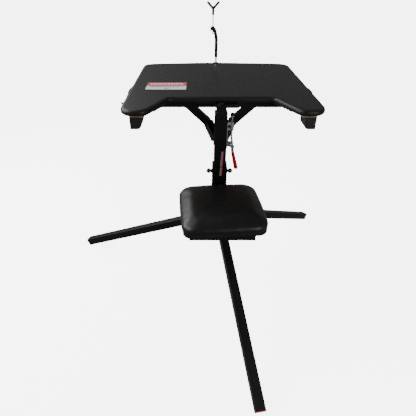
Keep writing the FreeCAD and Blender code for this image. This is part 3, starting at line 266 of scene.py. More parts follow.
tape_red = coated("tape_red", (0.36, 0.02, 0.04), (0.46, 0.04, 0.06), (0.25, 0.4), 900, 0.05)

# ---- carried-over CAD nodes ---------------------------------------------------------------------------
slot_of = {row["node"]: row["material_slot"] for row in frame["record"]["subparts"]}
ROUNDED = ("leg_front", "leg_right", "leg_left", "seat_arm", "seat_cross_tubes", "crossbar", "bridge_bar",
           "swivel_plate", "column_flange", "hub", "brace_left", "brace_right", "tip_bumpers", "clamp_frame",
           "clamp_handle", "clamp_links", "thrust_washer", "spindle_nut", "leg_plug_front", "leg_plug_left",
           "leg_plug_right", "crossbar_caps", "seat_plate", "brace_straps", "tip_spacers")
BEVEL = {"tip_bumpers": 0.002, "clamp_handle": 0.0005, "clamp_links": 0.0005,
         "clamp_frame": 0.0006}
for name, node in nodes.items():
    node.data.materials.clear()
    node.data.materials.append(finish[slot_of[name]])
    if name in ROUNDED:
        weld = node.modifiers.new("weld", "WELD")
        weld.merge_threshold = 0.00001
        edge = node.modifiers.new("edge", "BEVEL")
        edge.width = BEVEL.get(name, 0.001)
        edge.segments = 3
        edge.limit_method = "ANGLE"
        edge.angle_limit = math.radians(40)
special = {"clamp_plunger": thread_steel, "table_core": wrapped_board("wrapped_plywood"),
           "seat_board": wrapped_board("wrapped_seat_board"), "swivel_plate": finish["black_steel"],
           "swivel_bolt": finish["black_steel"]}
for name, material in special.items():
    nodes[name].data.materials.clear()
    nodes[name].data.materials.append(material)


# ---- mesh helpers -------------------------------------------------------------------------------------
def mesh_piece(name, vertices, faces, material, body, smooth=True):
    mesh = bpy.data.meshes.new(name)
    mesh.from_pydata([tuple(v) for v in vertices], [], faces)
    mesh.materials.append(material)
    mesh.update()
    piece = bpy.data.objects.new(name, mesh)
    scene.collection.objects.link(piece)
    for polygon in mesh.polygons:
        polygon.use_smooth = smooth
    if body:
        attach(piece, body)
    return piece


def evaluated_copy(piece):
    """The piece's mesh with its modifiers applied."""
    depsgraph = bpy.context.evaluated_depsgraph_get()
    return bpy.data.meshes.new_from_object(piece.evaluated_get(depsgraph))


def apply_modifiers(piece):
    mesh = evaluated_copy(piece)
    old = piece.data
    piece.modifiers.clear()
    piece.data = mesh
    bpy.data.meshes.remove(old)
    for polygon in mesh.polygons:
        polygon.use_smooth = True


def tube_rings(path, radius_at, sides=8, closed=False):
    """Rings of points round a path, and the faces between them."""
    count = len(path)
    vertices, faces = [], []
    for i, here in enumerate(path):
        before = path[i - 1] if i or closed else here
        after = path[(i + 1) % count] if i < count - 1 or closed else here
        along = (after - before).normalized()
        helper = Vector((0, 0, 1)) if abs(along.z) < 0.9 else Vector((1, 0, 0))
        side = along.cross(helper).normalized()
        rise = side.cross(along).normalized()
        for k in range(sides):
            angle = 2 * math.pi * k / sides
            vertices.append(here + (side * math.cos(angle) + rise * math.sin(angle)) * radius_at(i))
    last = count if closed else count - 1
    for i in range(last):
        for k in range(sides):
            a, b = i * sides + k, i * sides + (k + 1) % sides
            c, d = ((i + 1) % count) * sides + (k + 1) % sides, ((i + 1) % count) * sides + k
            faces.append((a, b, c, d))
    if not closed:
        faces.append(tuple(range(sides))[::-1])
        faces.append(tuple((count - 1) * sides + k for k in range(sides)))
    return vertices, faces


def weld_beads(name, paths, radius, body):
    """Rippled fillet welds along several polylines, as one piece."""
    vertices, faces = [], []
    for corners in paths:
        corners = [Vector(c) for c in corners]
        path = []
        for a, b in zip(corners, corners[1:]):
            steps = max(2, int((b - a).length / 0.0009))
            path += [a.lerp(b, i / steps) for i in range(steps)]
        path.append(corners[-1])
        phase = random.random() * 6

        def bead(i):
            ripple = 1 + 0.16 * math.sin(i * 0.9 + phase) + 0.1 * (random.random() - 0.5)
            ends = min(1.0, 0.4 + i / 4, 0.4 + (len(path) - 1 - i) / 4)
            return radius * ripple * ends
        more, more_faces = tube_rings(path, bead)
        faces += [tuple(k + len(vertices) for k in f) for f in more_faces]
        vertices += more
    return mesh_piece(name, vertices, faces, weld_steel, body)


def spline_ring(half_x, half_y, corner, count):
    """Points round a rounded rectangle, evenly spaced by angle on its corners."""
    points = []
    for quarter in range(4):
        centre = Vector(((half_x - corner) * (1 if quarter in (0, 3) else -1),
                         (half_y - corner) * (1 if quarter < 2 else -1)))
        for i in range(count):
            angle = math.pi / 2 * (quarter + i / (count - 1))
            points.append(centre + Vector((math.cos(angle), math.sin(angle))) * corner)
    return points


def even_ring(points, spacing):
    """The same closed ring with points at an even spacing."""
    lengths = [0.0]
    for a, b in zip(points, points[1:] + points[:1]):
        lengths.append(lengths[-1] + (b - a).length)
    count = max(8, int(lengths[-1] / spacing))
    ring, k = [], 0
    for i in range(count):
        want = lengths[-1] * i / count
        while lengths[k + 1] < want:
            k += 1
        a, b = points[k], points[(k + 1) % len(points)]
        ring.append(a.lerp(b, (want - lengths[k]) / max(lengths[k + 1] - lengths[k], 1e-9)))
    return ring


def voxel_remesh(piece, size):
    modifier = piece.modifiers.new("remesh", "REMESH")
    modifier.mode = "VOXEL"
    modifier.voxel_size = size
    modifier.use_smooth_shade = True
    apply_modifiers(piece)


def smooth(piece, factor, times):
    modifier = piece.modifiers.new("smooth", "SMOOTH")
    modifier.factor = factor
    modifier.iterations = times
    apply_modifiers(piece)


def inflate(piece, pinned, cap, settle, pressure=4.0, stiffness=8.0):
    """Blow the piece up as cloth from frame 1 to 20, held where pinned(point) is 1, moving no point past cap.

    The movement is then evened out over its neighbours, settle times, as taut vinyl does."""
    start = [v.co.copy() for v in piece.data.vertices]
    group = piece.vertex_groups.new(name="pin")
    for i, point in enumerate(start):
        hold = pinned(point)
        if hold > 0:
            group.add([i], hold, "REPLACE")
    cloth = piece.modifiers.new("cloth", "CLOTH")
    settings = cloth.settings
    settings.vertex_group_mass = "pin"
    settings.use_pressure = True
    settings.uniform_pressure_force = pressure
    settings.mass = 0.25
    settings.tension_stiffness = stiffness
    settings.compression_stiffness = stiffness
    settings.shear_stiffness = stiffness / 2
    settings.bending_stiffness = 0.6
    settings.effector_weights.gravity = 0.0
    cloth.collision_settings.use_collision = False
    cloth.point_cache.frame_start = 1
    cloth.point_cache.frame_end = 20
    for step in range(1, 21):
        scene.frame_set(step)
    mesh = evaluated_copy(piece)
    moved = [v.co.copy() for v in mesh.vertices]
    bpy.data.meshes.remove(mesh)
    piece.modifiers.clear()
    steps = []
    for a, b, vertex in zip(start, moved, piece.data.vertices):
        outward = max(0.0, (b - a).dot(vertex.normal))
        steps.append(vertex.normal * min(outward, cap))
    links = [[] for _ in start]
    for edge in piece.data.edges:
        a, b = edge.vertices
        links[a].append(b)
        links[b].append(a)
    for _ in range(settle):
        steps = [(step + sum((steps[j] for j in near), Vector()) / max(len(near), 1)) / 2
                 for step, near in zip(steps, links)]
    for vertex, a, step in zip(piece.data.vertices, start, steps):
        vertex.co = a + step
    piece.vertex_groups.clear()
    scene.frame_set(1)


# ---- seat cushion -------------------------------------------------------------------------------------
def seat_point(x, y, z):
    """A point in the seat's own turned axes, as a point in the frame."""
    c, s = math.cos(SEAT_YAW), math.sin(SEAT_YAW)
    return Vector((seat_centre.x + x * c - y * s, seat_centre.y + x * s + y * c, z))


SEAT_HALF = 0.165
SEAT_CORNER = 0.052
SEAT_CROWN = 0.011
SEAT_SWELL = 0.005
seat_foot = seat_low.z
seat_thick = seat_high.z - seat_low.z


def build_seat():
    """A boxed pad that starts a little small; its vinyl is pulled up in the middle of each side."""
    profile = [(0.030, 0.004), (0.014, 0.0005), (0.005, 0.001), (0.001, 0.006), (0.0, 0.015), (0.0, 0.024),
               (0.002, 0.031), (0.007, 0.037), (0.015, 0.0415), (0.027, 0.0445), (0.05, 0.047),
               (0.09, 0.0488), (0.13, 0.0495)]
    vertices, faces = [], []
    for inset, height in profile:
        ring = spline_ring(SEAT_HALF - 0.003 - inset, SEAT_HALF - 0.003 - inset,
                           max(SEAT_CORNER - inset * 0.8, 0.01), 12)
        for point in ring:
            middle = 1 - min(1.0, abs(min(abs(point.x), abs(point.y))) / (SEAT_HALF * 0.75)) ** 2
            lift = 0.006 * middle * max(0.0, 1 - height / 0.02)
            vertices.append(seat_point(point.x, point.y, seat_foot + 0.001 + height + lift))
    ring_size = len(ring)
    for r in range(len(profile) - 1):
        for k in range(ring_size):
            a, b = r * ring_size + k, r * ring_size + (k + 1) % ring_size
            faces.append((a, b, b + ring_size, a + ring_size))
    faces.append(tuple(range(ring_size))[::-1])
    faces.append(tuple((len(profile) - 1) * ring_size + k for k in range(ring_size)))
    piece = mesh_piece("seat_pad", vertices, faces, seat_vinyl, None)
    voxel_remesh(piece, 0.005)
    smooth(piece, 0.5, 3)
    floor = seat_foot + 0.011
    inflate(piece, lambda p: 1.0 if p.z < floor else 0.0, 0.006, 20)
    detail = piece.modifiers.new("detail", "SUBSURF")
    detail.levels = 1
    detail.render_levels = 1
    apply_modifiers(piece)
    c, s = math.cos(SEAT_YAW), math.sin(SEAT_YAW)
    for vertex in piece.data.vertices:
        local = vertex.co - seat_centre
        x = local.x * c + local.y * s
        y = local.y * c - local.x * s
        height = (vertex.co.z - seat_foot) / seat_thick
        edge = max(abs(x), abs(y)) / SEAT_HALF
        u, v = min(1.0, abs(x) / SEAT_HALF), min(1.0, abs(y) / SEAT_HALF)
        crown = max((1 - u ** 2.2) * (1 - v ** 6), (1 - u ** 6) * (1 - v ** 2.2))
        vertex.co.z += SEAT_CROWN * crown * min(1.0, max(0.0, height))
        swell = SEAT_SWELL * min(1.0, max(0.0, height * 2)) * (1 - min(u, v) ** 2)
        swell = swell * max(0.0, edge - 0.6) / 0.4
        outward = Vector((x, 0, 0)) if abs(x) > abs(y) else Vector((0, y, 0))
        outward = outward.normalized() * swell
        vertex.co.x += outward.x * c - outward.y * s
        vertex.co.y += outward.x * s + outward.y * c
        pull = max(0.0, edge - 0.72) / 0.28
        # Short pleats run down the sides to the staples, and a few soft creases cross the front corners.
        turn = math.atan2(y, x)
        pleat = math.sin(turn * 46 + 2.5 * noise.noise(Vector((x * 30, y * 30, 0)))) ** 3
        low = max(0.0, 0.55 - height) * pull
        vertex.co.z += 0.0016 * pleat * low
        fold = noise.noise(Vector((x * 26 + y * 9, y * 60, 3.1)))
        crease = fold * noise.noise(Vector((x * 11, y * 11, 8.7)))
        vertex.co.z += 0.0045 * crease * max(0.0, pull - 0.15) * (1 if height > 0.45 else 0)
        vertex.co.z += 0.0006 * noise.noise(Vector((x * 22, y * 22, 5.0)))
    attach(piece, "seat")
    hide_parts("seat_cushion")


build_seat()


# ---- outlines -----------------------------------------------------------------------------------------
def outline_of(node, low, high):
    """The closed outline of a slab's side, as ordered points, from its mesh between two heights."""
    mesh = nodes[node].data
    flat = {}
    for vertex in mesh.vertices:
        if low <= vertex.co.z <= high:
            flat[(round(vertex.co.x, 5), round(vertex.co.y, 5))] = True
    links = {point: set() for point in flat}
    for polygon in mesh.polygons:
        inside = [mesh.vertices[i].co for i in polygon.vertices]
        if abs(polygon.normal.z) > 0.5:
            continue
        keys = [(round(c.x, 5), round(c.y, 5)) for c in inside]
        for a in keys:
            for b in keys:
                if a != b and a in links and b in links:
                    links[a].add(b)
    start = max(links, key=lambda p: p[0] * 10 + p[1])
    ring, here, before = [start], start, None
    while True:
        ahead = [p for p in links[here] if p != before]
        if not ahead:
            break
        before, here = here, min(ahead, key=lambda p: (p[0] - here[0]) ** 2 + (p[1] - here[1]) ** 2)
        if here == start or len(ring) > 4000:
            break
        ring.append(here)
    return [Vector(p) for p in ring]


def offset_ring(ring, distance):
    """The ring moved inward."""
    area = sum(a.x * b.y - b.x * a.y for a, b in zip(ring, ring[1:] + ring[:1]))
    turn = 1 if area > 0 else -1
    moved = []
    for i, here in enumerate(ring):
        along = (ring[(i + 1) % len(ring)] - ring[i - 1]).normalized()
        moved.append(here + Vector((-along.y, along.x)) * distance * turn)
    return moved


table_ring = even_ring(outline_of("table_core", board_foot - 0.001, board_foot + 0.001), 0.004)


# ---- table top ----------------------------------------------------------------------------------------
def build_top():
    """Cover and core as one slab, its rest hole filled, remeshed and softened as foam under vinyl."""
    build = bmesh.new()
    build.from_mesh(nodes["table_cover"].data)
    build.from_mesh(nodes["table_core"].data)
    socket_low, socket_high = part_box("rest_socket")
    centre = (socket_low + socket_high) / 2
    radius = (socket_high.x - socket_low.x) / 2 + 0.003
    plug = bmesh.ops.create_cone(build, cap_ends=True, segments=32, radius1=radius, radius2=radius,
                                 depth=board_top - board_foot - 0.0006)
    for vertex in plug["verts"]:
        vertex.co += Vector((centre.x, centre.y, (board_top + board_foot) / 2))
    bmesh.ops.remove_doubles(build, verts=build.verts, dist=0.00001)
    mesh = bpy.data.meshes.new("table_pad")
    build.to_mesh(mesh)
    build.free()
    mesh.materials.clear()
    mesh.materials.append(finish["vinyl"])
    piece = bpy.data.objects.new("table_pad", mesh)
    scene.collection.objects.link(piece)
    voxel_remesh(piece, 0.0045)
    smooth(piece, 0.5, 6)
    thick = board_top - board_foot
    rim = KDTree(len(table_ring))
    for i, point in enumerate(table_ring):
        rim.insert((point.x, point.y, 0), i)
    rim.balance()
    for vertex in piece.data.vertices:
        p = vertex.co
        height = (p.z - board_foot) / thick
        if height < 0.3:
            near = rim.find((p.x, p.y, 0))[0]
            past_side = abs(p.x) > abs(near.x) + 0.001
            past_front = p.y < near.y - 0.001 and p.y < 0.03
            beyond = past_side or past_front or p.y > near.y + 0.001
            within = 0.0 if beyond else min(1.0, (near - Vector((p.x, p.y, 0))).length / 0.006)
            p.z += 0.0002 + 0.003 * within * (0.3 - height) / 0.3
        # Foam gives the top a slow unevenness; the vinyl's tension leaves faint lines across it.
        slow = noise.noise(Vector((p.x * 6, p.y * 6, 1.7)))
        lines = noise.noise(Vector((p.x * 9, p.y * 55, 4.2)))
        if height > 0.6:
            p.z += 0.0005 * slow + 0.00006 * lines
        elif height > 0.2:
            wave = noise.noise(Vector((p.x * 40, p.y * 40, 9.3)))
            p.x += math.copysign(0.0004, p.x) * wave
            p.z += 0.0003 * wave
    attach(piece, "table")
    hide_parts("table_cover")
    return piece


table_pad = build_top()
bpy.context.view_layer.update()
top_tree = BVHTree.FromPolygons([v.co.copy() for v in table_pad.data.vertices],
                                [tuple(p.vertices) for p in table_pad.data.polygons])


def on_top(x, y):
    """The vinyl's height under a point."""
    hit = top_tree.ray_cast(Vector((x, y, board_top + 0.05)), Vector((0, 0, -1)))[0]
    return hit.z if hit else board_top


# ---- wraps and staples underneath ---------------------------------------------------------------------
def wrap_under(name, ring, width, level, thick, body, blocked, material, out=0.004, up=0.0):
    """The strip of cover turned under a panel, its cut edge uneven, left out where something is bolted."""
    inner = offset_ring(ring, width)
    near = offset_ring(ring, -out)
    count = len(ring)
    vertices, faces = [], []
    for i in range(count):
        ragged = 0.12 * noise.noise(Vector((ring[i].x * 25, ring[i].y * 25, 2.0)))
        cut = near[i].lerp(inner[i], 1 + ragged)
        for point, drop in ((near[i], -up), (near[i], thick), (cut, thick), (cut, 0.0)):
            vertices.append(Vector((point.x, point.y, level - drop)))
    for i in range(count):
        j = (i + 1) % count
        middle = (near[i] + inner[i] + near[j] + inner[j]) / 4
        if blocked(middle.x, middle.y):
            continue
        for k in range(4):
            a, b = 4 * i + k, 4 * i + (k + 1) % 4
            faces.append((a, b, 4 * j + (k + 1) % 4, 4 * j + k))
    return mesh_piece(name, vertices, faces, material, body, False)


def staples(name, ring, depth, level, body, blocked, every):
    """Crown staples along a ring, a little skewed, as one piece."""
    line = offset_ring(ring, depth)
    vertices, faces = [], []
    for i in range(0, len(line), every):
        here = line[i]
        if blocked(here.x, here.y):
            continue
        along = (line[(i + 1) % len(line)] - line[i - 1]).normalized()
        turn = math.radians(random.uniform(-14, 14) + 8)
        along = Vector((along.x * math.cos(turn) - along.y * math.sin(turn),
                        along.x * math.sin(turn) + along.y * math.cos(turn)))
        half = Vector((along.x, along.y, 0)) * 0.005
        centre = Vector((here.x, here.y, level))
        path = [centre - half, centre - half * 0.94 - Vector((0, 0, 0.0005)),
                centre + half * 0.94 - Vector((0, 0, 0.0005)), centre + half]
        more, more_faces = tube_rings(path, lambda k: 0.00055, 6)
        faces += [tuple(k + len(vertices) for k in f) for f in more_faces]
        vertices += more
    return mesh_piece(name, vertices, faces, finish["zinc"], body)


def table_blocked(x, y):
    under_plate = plate_low.x - 0.012 < x < plate_high.x + 0.012 and plate_low.y - 0.012 < y < plate_high.y
    under_tips = abs(x) > 0.275 and y < -0.04
    return under_plate or under_tips


def staples_blocked(x, y):
    return table_blocked(x, y) or 0.19 < math.hypot(x, y) < 0.30


table_wrap = wrap_under("table_wrap", table_ring, 0.032, board_foot - 0.00003, 0.0002, "table",
                        table_blocked, wrap_vinyl)
table_staples = staples("table_staples", table_ring, 0.021, board_foot - 0.00025, "table", staples_blocked, 8)

seat_ring = [Vector((p.x, p.y)) for p in (seat_point(q.x, q.y, 0) for q in
             even_ring(spline_ring(SEAT_HALF - 0.007, SEAT_HALF - 0.007, 0.038, 12), 0.008))]
seat_wrap = wrap_under("seat_wrap", seat_ring, 0.034, seat_board_foot - 0.00003, 0.0009, "seat",
                       lambda x, y: False, seat_vinyl, 0.0015, 0.0105)
seat_staples = staples("seat_staples", seat_ring, 0.022, seat_board_foot - 0.001, "seat",
                       lambda x, y: False, 2)


# ---- carrying handles ---------------------------------------------------------------------------------
def build_handle(name, side):
    """A webbing strap that lies along the board's edge and stands off a little between its two screws."""
    low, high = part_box("side_handles")
    start, end = low.y, high.y
    mid_z = (low.z + high.z) / 2
    wide = (high.z - low.z) / 2
    inner = cover_high.x
    vertices, faces = [], []
    steps, across = 60, 8
    for i in range(steps + 1):
        t = i / steps
        y = start + (end - start) * t
        inset = min(t, 1 - t) * (end - start)
        arch = min(1.0, max(0.0, (inset - 0.024) / 0.03))
        gap = 0.0006 + 0.0052 * arch * arch * (3 - 2 * arch)
        for k in range(across + 1):
            v = k / across * 2 - 1
            sag = 0.0011 * (1 - v * v)
            for thick in (0.0, 0.0022 - 0.0007 * abs(v) ** 4):
                vertices.append(Vector((side * (inner + gap + sag + thick), y,
                                        mid_z + v * wide * (1 + 0.02 * math.sin(i * 1.3)))))
    row = (across + 1) * 2
    for i in range(steps):
        for k in range(across):
            a = i * row + 2 * k
            faces.append((a, a + 2, a + 2 + row, a + row))
            faces.append((a + 1, a + 1 + row, a + 3 + row, a + 3))
        for a in (i * row, i * row + 2 * across):
            faces.append((a, a + row, a + 1 + row, a + 1))
    for i in (0, steps):
        for k in range(across):
            a = i * row + 2 * k
            faces.append((a, a + 1, a + 3, a + 2))
    piece = mesh_piece(name, vertices, faces, finish["webbing"], "table")
    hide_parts("side_handles")


build_handle("handle_right", 1)
build_handle("handle_left", -1)


# ---- label and stripe ---------------------------------------------------------------------------------
def draped_panel(name, rectangles, body):
    """Flat printed rectangles that follow the vinyl: (x0, x1, y0, y1, lift, material)."""
    vertices, faces, slots = [], [], []
    materials = []
    for x0, x1, y0, y1, lift, material in rectangles:
        if material not in materials:
            materials.append(material)
        steps_x = max(1, int((x1 - x0) / 0.012))
        steps_y = max(1, int((y1 - y0) / 0.012))
        base = len(vertices)
        for i in range(steps_x + 1):
            for j in range(steps_y + 1):
                x = x0 + (x1 - x0) * i / steps_x
                y = y0 + (y1 - y0) * j / steps_y
                vertices.append(Vector((x, y, on_top(x, y) + lift)))
        for i in range(steps_x):
            for j in range(steps_y):
                a = base + i * (steps_y + 1) + j
                faces.append((a, a + steps_y + 1, a + steps_y + 2, a + 1))
                slots.append(materials.index(material))
    piece = mesh_piece(name, vertices, faces, materials[0], None)
    for material in materials[1:]:
        piece.data.materials.append(material)
    for polygon, index in zip(piece.data.polygons, slots):
        polygon.material_index = index
    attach(piece, body)
    return piece


LABEL = (-0.316, -0.144, 0.1316, 0.2435)


def label_rectangles():
    """A plain red and white label with rows of bars where print would be."""
    x0, x1, y0, y1 = LABEL
    lift = 0.0004
    split = y0 + (y1 - y0) * 0.5
    rows = [(x0, x1, split, y1, lift, print_red), (x0, x1, y0, split, lift, print_white)]
    x = x0 + 0.014
    while x < x1 - 0.018:
        length = random.uniform(0.006, 0.011)
        rows.append((x, x + length, split + 0.018, y1 - 0.014, lift + 0.0002, print_white))
        x += length + 0.0035
    rows.append((x0 + 0.006, x1 - 0.006, split - 0.009, split - 0.004, lift + 0.0002, print_grey))
    x = x0 + 0.02
    while x < x1 - 0.03:
        length = random.uniform(0.008, 0.016)
        rows.append((x, x + length, split - 0.023, split - 0.017, lift + 0.0002, print_grey))
        x += length + 0.005
    middle = (x0 + x1) / 2
    rows.append((middle - 0.009, middle + 0.012, y0 + 0.012, y0 + 0.024, lift + 0.0002, print_red))
    return rows


plain_label = draped_panel("plain_label", label_rectangles(), "table")
STRIPE_FOOT_X, STRIPE_FOOT_Z = 0.0044, 0.589
STRIPE_TOP_X, STRIPE_TOP_Z = 0.0102, 0.697


def stripe(name, face_y, low_z, high_z, body):
    """A leaning two-colour strip of tape on a front face."""
    def middle(z):
        across, rise = STRIPE_TOP_X - STRIPE_FOOT_X, STRIPE_TOP_Z - STRIPE_FOOT_Z
        return STRIPE_FOOT_X + (z - STRIPE_FOOT_Z) * across / rise
    vertices, faces, slots = [], [], []
    steps = 12
    cuts = (-0.0052, 0.0004, 0.0008, 0.0052)
    for i in range(steps + 1):
        z = low_z + (high_z - low_z) * i / steps
        for cut in cuts:
            vertices.append(Vector((middle(z) + cut, face_y - 0.0002, z)))
    for i in range(steps):
        for k in range(3):
            a = i * 4 + k
            faces.append((a, a + 1, a + 5, a + 4))
            slots.append((0, 1, 2)[k])
    back = len(vertices)
    vertices += [v + Vector((0, 0.00015, 0)) for v in vertices]
    for i in range(steps):
        for first, second in ((0, 4), (7, 3)):
            a, b = i * 4 + first, i * 4 + second
            faces.append((a, b, b + back, a + back))
            slots.append(0 if first == 0 else 2)
    piece = mesh_piece(name, vertices, faces, tape_silver, None, False)
    piece.data.materials.append(print_grey)
    piece.data.materials.append(tape_red)
    for polygon, index in zip(piece.data.polygons, slots):
        polygon.material_index = index
    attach(piece, body)


stripe("stripe_post", post_low.y, sleeve_high.z - 0.004, 0.699, "post")
stripe("stripe_sleeve", -SLEEVE_HALF, 0.588, sleeve_high.z - 0.0005, "column")

# ---- welds --------------------------------------------------------------------------------------------
arm_low, arm_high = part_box("seat_arm")
cross_low, cross_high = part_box("seat_cross_tubes")
bar_low, bar_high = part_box("crossbar")
bridge_low, bridge_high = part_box("bridge_bar")
neck_low, neck_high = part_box("neck_tube")


def around(half, z):
    return [(-half, -half, z), (half, -half, z), (half, half, z), (-half, half, z), (-half, -half, z)]


def build_column_welds():
    """Welds round the sleeve's foot, where the seat arm meets it, and where the cross tube meets the arm."""
    paths = [around(SLEEVE_HALF, sleeve_low.z + 0.0008)]
    y = arm_high.y - 0.0008
    paths.append([(arm_low.x, y, arm_low.z), (arm_high.x, y, arm_low.z), (arm_high.x, y, arm_high.z),
                  (arm_low.x, y, arm_high.z), (arm_low.x, y, arm_low.z)])
    y = arm_low.y
    for x in (arm_low.x, arm_high.x):
        paths.append([(x, y, cross_low.z + 0.004), (x, y, cross_high.z - 0.002)])
    front, back = CROSS_TUBE_Y - CROSS_TUBE_HALF, CROSS_TUBE_Y + CROSS_TUBE_HALF
    for side in (-1, 1):
        x = side * arm_high.x
        paths.append([(x, front, cross_high.z - 0.002), (x, front, cross_low.z),
                      (x, back, cross_low.z), (x, back, cross_high.z - 0.002)])
    weld_beads("column_welds", paths, 0.0017, "column")


def build_post_welds():
    """Welds where each brace meets the crossbar, round the bridge bar, and where the neck meets the post."""
    paths = []
    z = bar_low.z - 0.0006
    mid = (bar_low.y + bar_high.y) / 2
    front, back = mid - BRACE_HALF_DEPTH, mid + BRACE_HALF_DEPTH
    for side in (-1, 1):
        x0, x1 = side * BRACE_INNER, side * BRACE_OUTER
        paths.append([(x0, front, z), (x1, front, z), (x1, back, z), (x0, back, z), (x0, front, z)])
    y = bar_low.y - 0.0006
    paths.append([(bridge_low.x, y, bar_high.z - 0.003), (bridge_low.x, y, bridge_high.z - 0.019),
                  (bridge_high.x, y, bridge_high.z - 0.019), (bridge_high.x, y, bar_high.z - 0.003)])
    neck_half = (neck_high.x - neck_low.x) / 2
    paths.append(around(neck_half + 0.0004, post_high.z + 0.0006))
    weld_beads("post_welds", paths, 0.0016, "post")


build_column_welds()
build_post_welds()


# ---- small hardware details ---------------------------------------------------------------------------
def rounded_loft(name, centres, sizes, across, material, body):
    """A soft-cornered bar: a section of (half width, half depth) at each centre, closed at its ends."""
    depth = Vector((0, 1, 0))
    vertices, faces = [], []
    sides = 20
    for centre, (half_width, half_depth) in zip(centres, sizes):
        for k in range(sides):
            angle = 2 * math.pi * k / sides
            c, s = math.cos(angle), math.sin(angle)
            vertices.append(centre + across * half_width * math.copysign(abs(c) ** 0.75, c)
                            + depth * half_depth * math.copysign(abs(s) ** 0.75, s))
    for i in range(len(centres) - 1):
        for k in range(sides):
            a, b = i * sides + k, i * sides + (k + 1) % sides
            faces.append((a, b, b + sides, a + sides))
    faces.append(tuple(range(sides))[::-1])
    faces.append(tuple((len(centres) - 1) * sides + k for k in range(sides)))
    return mesh_piece(name, vertices, faces, material, body)


def build_grip():
    """The dipped grip: it widens outward toward its round end, with shallow finger waves."""
    low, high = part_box("clamp_grip")
    lean = math.radians(12.5)
    hang = Vector((math.sin(lean), 0, -math.cos(lean)))
    across = Vector((-hang.z, 0, hang.x))
    middle = Vector(((low.x + high.x) / 2, 0, (low.z + high.z) / 2))
    length = (high.z - low.z) / math.cos(lean)
    start = middle - hang * length * 0.5
    centres, sizes = [], []
    steps = 48
    for i in range(steps + 1):
        t = i / steps
        ends = min(1.0, math.sqrt(max(0.0, 1 - ((t - 0.9) / 0.1) ** 2)) if t > 0.9 else 1.0,
                   0.55 + 0.45 * min(1.0, t / 0.05))
        wave = 0.0004 * math.sin(t * 36) if 0.12 < t < 0.85 else 0.0
        wide = 0.0066 + 0.0028 * t + wave
        centres.append(start + hang * length * t + across * max(0.0, wide - 0.0077))
        sizes.append((wide * max(ends, 0.02), (0.0054 + 0.0008 * t) * max(ends, 0.02)))
    piece = rounded_loft("grip_skin", centres, sizes, across, finish["grip_red"], "lever")
    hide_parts("clamp_grip")
    return piece


build_grip()


def build_knob(name, side):
    """A ball knob turned with its collar, on the screw's axis."""
    low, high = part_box(name)
    outer = max(abs(low.x), abs(high.x))
    inner = min(abs(low.x), abs(high.x))
    ball = (high.z - low.z) / 2
    mid_z = (low.z + high.z) / 2
    profile = [(inner, 0.0048), (inner, 0.0062), (inner + 0.0008, 0.0067), (inner + 0.0030, 0.0067),
               (inner + 0.0036, 0.0060)]
    swollen = ball + 0.0004
    for k in range(15):
        angle = math.radians(142 - 142 * k / 14)
        profile.append((outer - ball + swollen * math.cos(angle), max(swollen * math.sin(angle), 0.0002)))
    profile = [p for i, p in enumerate(profile) if i < 5 or p[0] > inner + 0.0036]
    vertices, faces = [], []
    sides = 28
    for x, radius in profile:
        for k in range(sides):
            angle = 2 * math.pi * k / sides
            vertices.append(Vector((side * x, radius * math.cos(angle), mid_z + radius * math.sin(angle))))
    for i in range(len(profile) - 1):
        for k in range(sides):
            a, b = i * sides + k, i * sides + (k + 1) % sides
            faces.append((a, b, b + sides, a + sides) if side > 0 else (a, a + sides, b + sides, b))
    faces.append(tuple((len(profile) - 1) * sides + k for k in range(sides)))
    body = name.split("_")[1] + "_knob"
    piece = mesh_piece("ball_" + name, vertices, faces, finish["knob_black"], body)
    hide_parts(name)


build_knob("knob_right", 1)
build_knob("knob_left", -1)


def build_fork():
    """The V fork in its rubber dip: two arms and a short stem that thicken where they meet."""
    low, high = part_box("fork")
    axis = (low.x + high.x) / 2
    y = (low.y + high.y) / 2
    half = (high.x - low.x) / 2
    arm = 0.0060
    tip_z = high.z - 0.00475
    crotch = Vector((axis, y, tip_z - 0.0305))
    vertices, faces = [], []
    for side in (-1, 1):
        tip = Vector((axis + side * (half - 0.00475), y, tip_z))
        path = [crotch.lerp(tip, k / 24) for k in range(25)]

        def reach(i):
            t = i / 24
            end = math.sqrt(max(0.0, 1 - ((t - 0.9) / 0.115) ** 2)) if t > 0.9 else 1.0
            return (arm + 0.0008 * (1 - t) ** 3 + 0.00012 * math.sin(i * 1.7)) * max(end, 0.05)
        more, more_faces = tube_rings(path, reach, 16)
        faces += [tuple(k + len(vertices) for k in f) for f in more_faces]
        vertices += more
    foot = Vector((axis, y, low.z))
    path = [foot.lerp(crotch + Vector((0, 0, 0.003)), k / 12) for k in range(13)]
    more, more_faces = tube_rings(path, lambda i: 0.0064 if i else 0.0058, 16)
    faces += [tuple(k + len(vertices) for k in f) for f in more_faces]
    vertices += more
    piece = mesh_piece("fork_dip", vertices, faces, finish["dip_black"], None)
    voxel_remesh(piece, 0.0011)
    smooth(piece, 0.5, 4)
    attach(piece, "rest_fork")
    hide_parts("fork")


build_fork()


def build_rest_tube():
    """The rest's painted tube, bent from the rod to the clamp block. It has no groove for the stem."""
    low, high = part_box("rest_arm")
    block_low, block_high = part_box("rest_block")
    y = (low.y + high.y) / 2
    radius = (high.y - low.y) / 2
    axis = high.x - radius
    foot = Vector((axis, y, low.z))
    end = Vector((block_high.x - 0.0025, y, (block_low.z + block_high.z) / 2))
    corner = Vector((axis, y, end.z - (axis - end.x) * 2.6))
    before = corner.lerp(foot, 0.26)
    path = [foot.lerp(before, k / 30) for k in range(31)]
    for k in range(1, 25):
        t = k / 24
        path.append(before.lerp(corner, t).lerp(corner.lerp(end, t), t))

    def reach(i):
        return radius + 0.0007 if i else radius - 0.0004
    vertices, faces = tube_rings(path, reach, 24)
    piece = mesh_piece("rest_tube", vertices, faces, finish["black_steel"], "rest_head")
    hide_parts("rest_arm")


build_rest_tube()


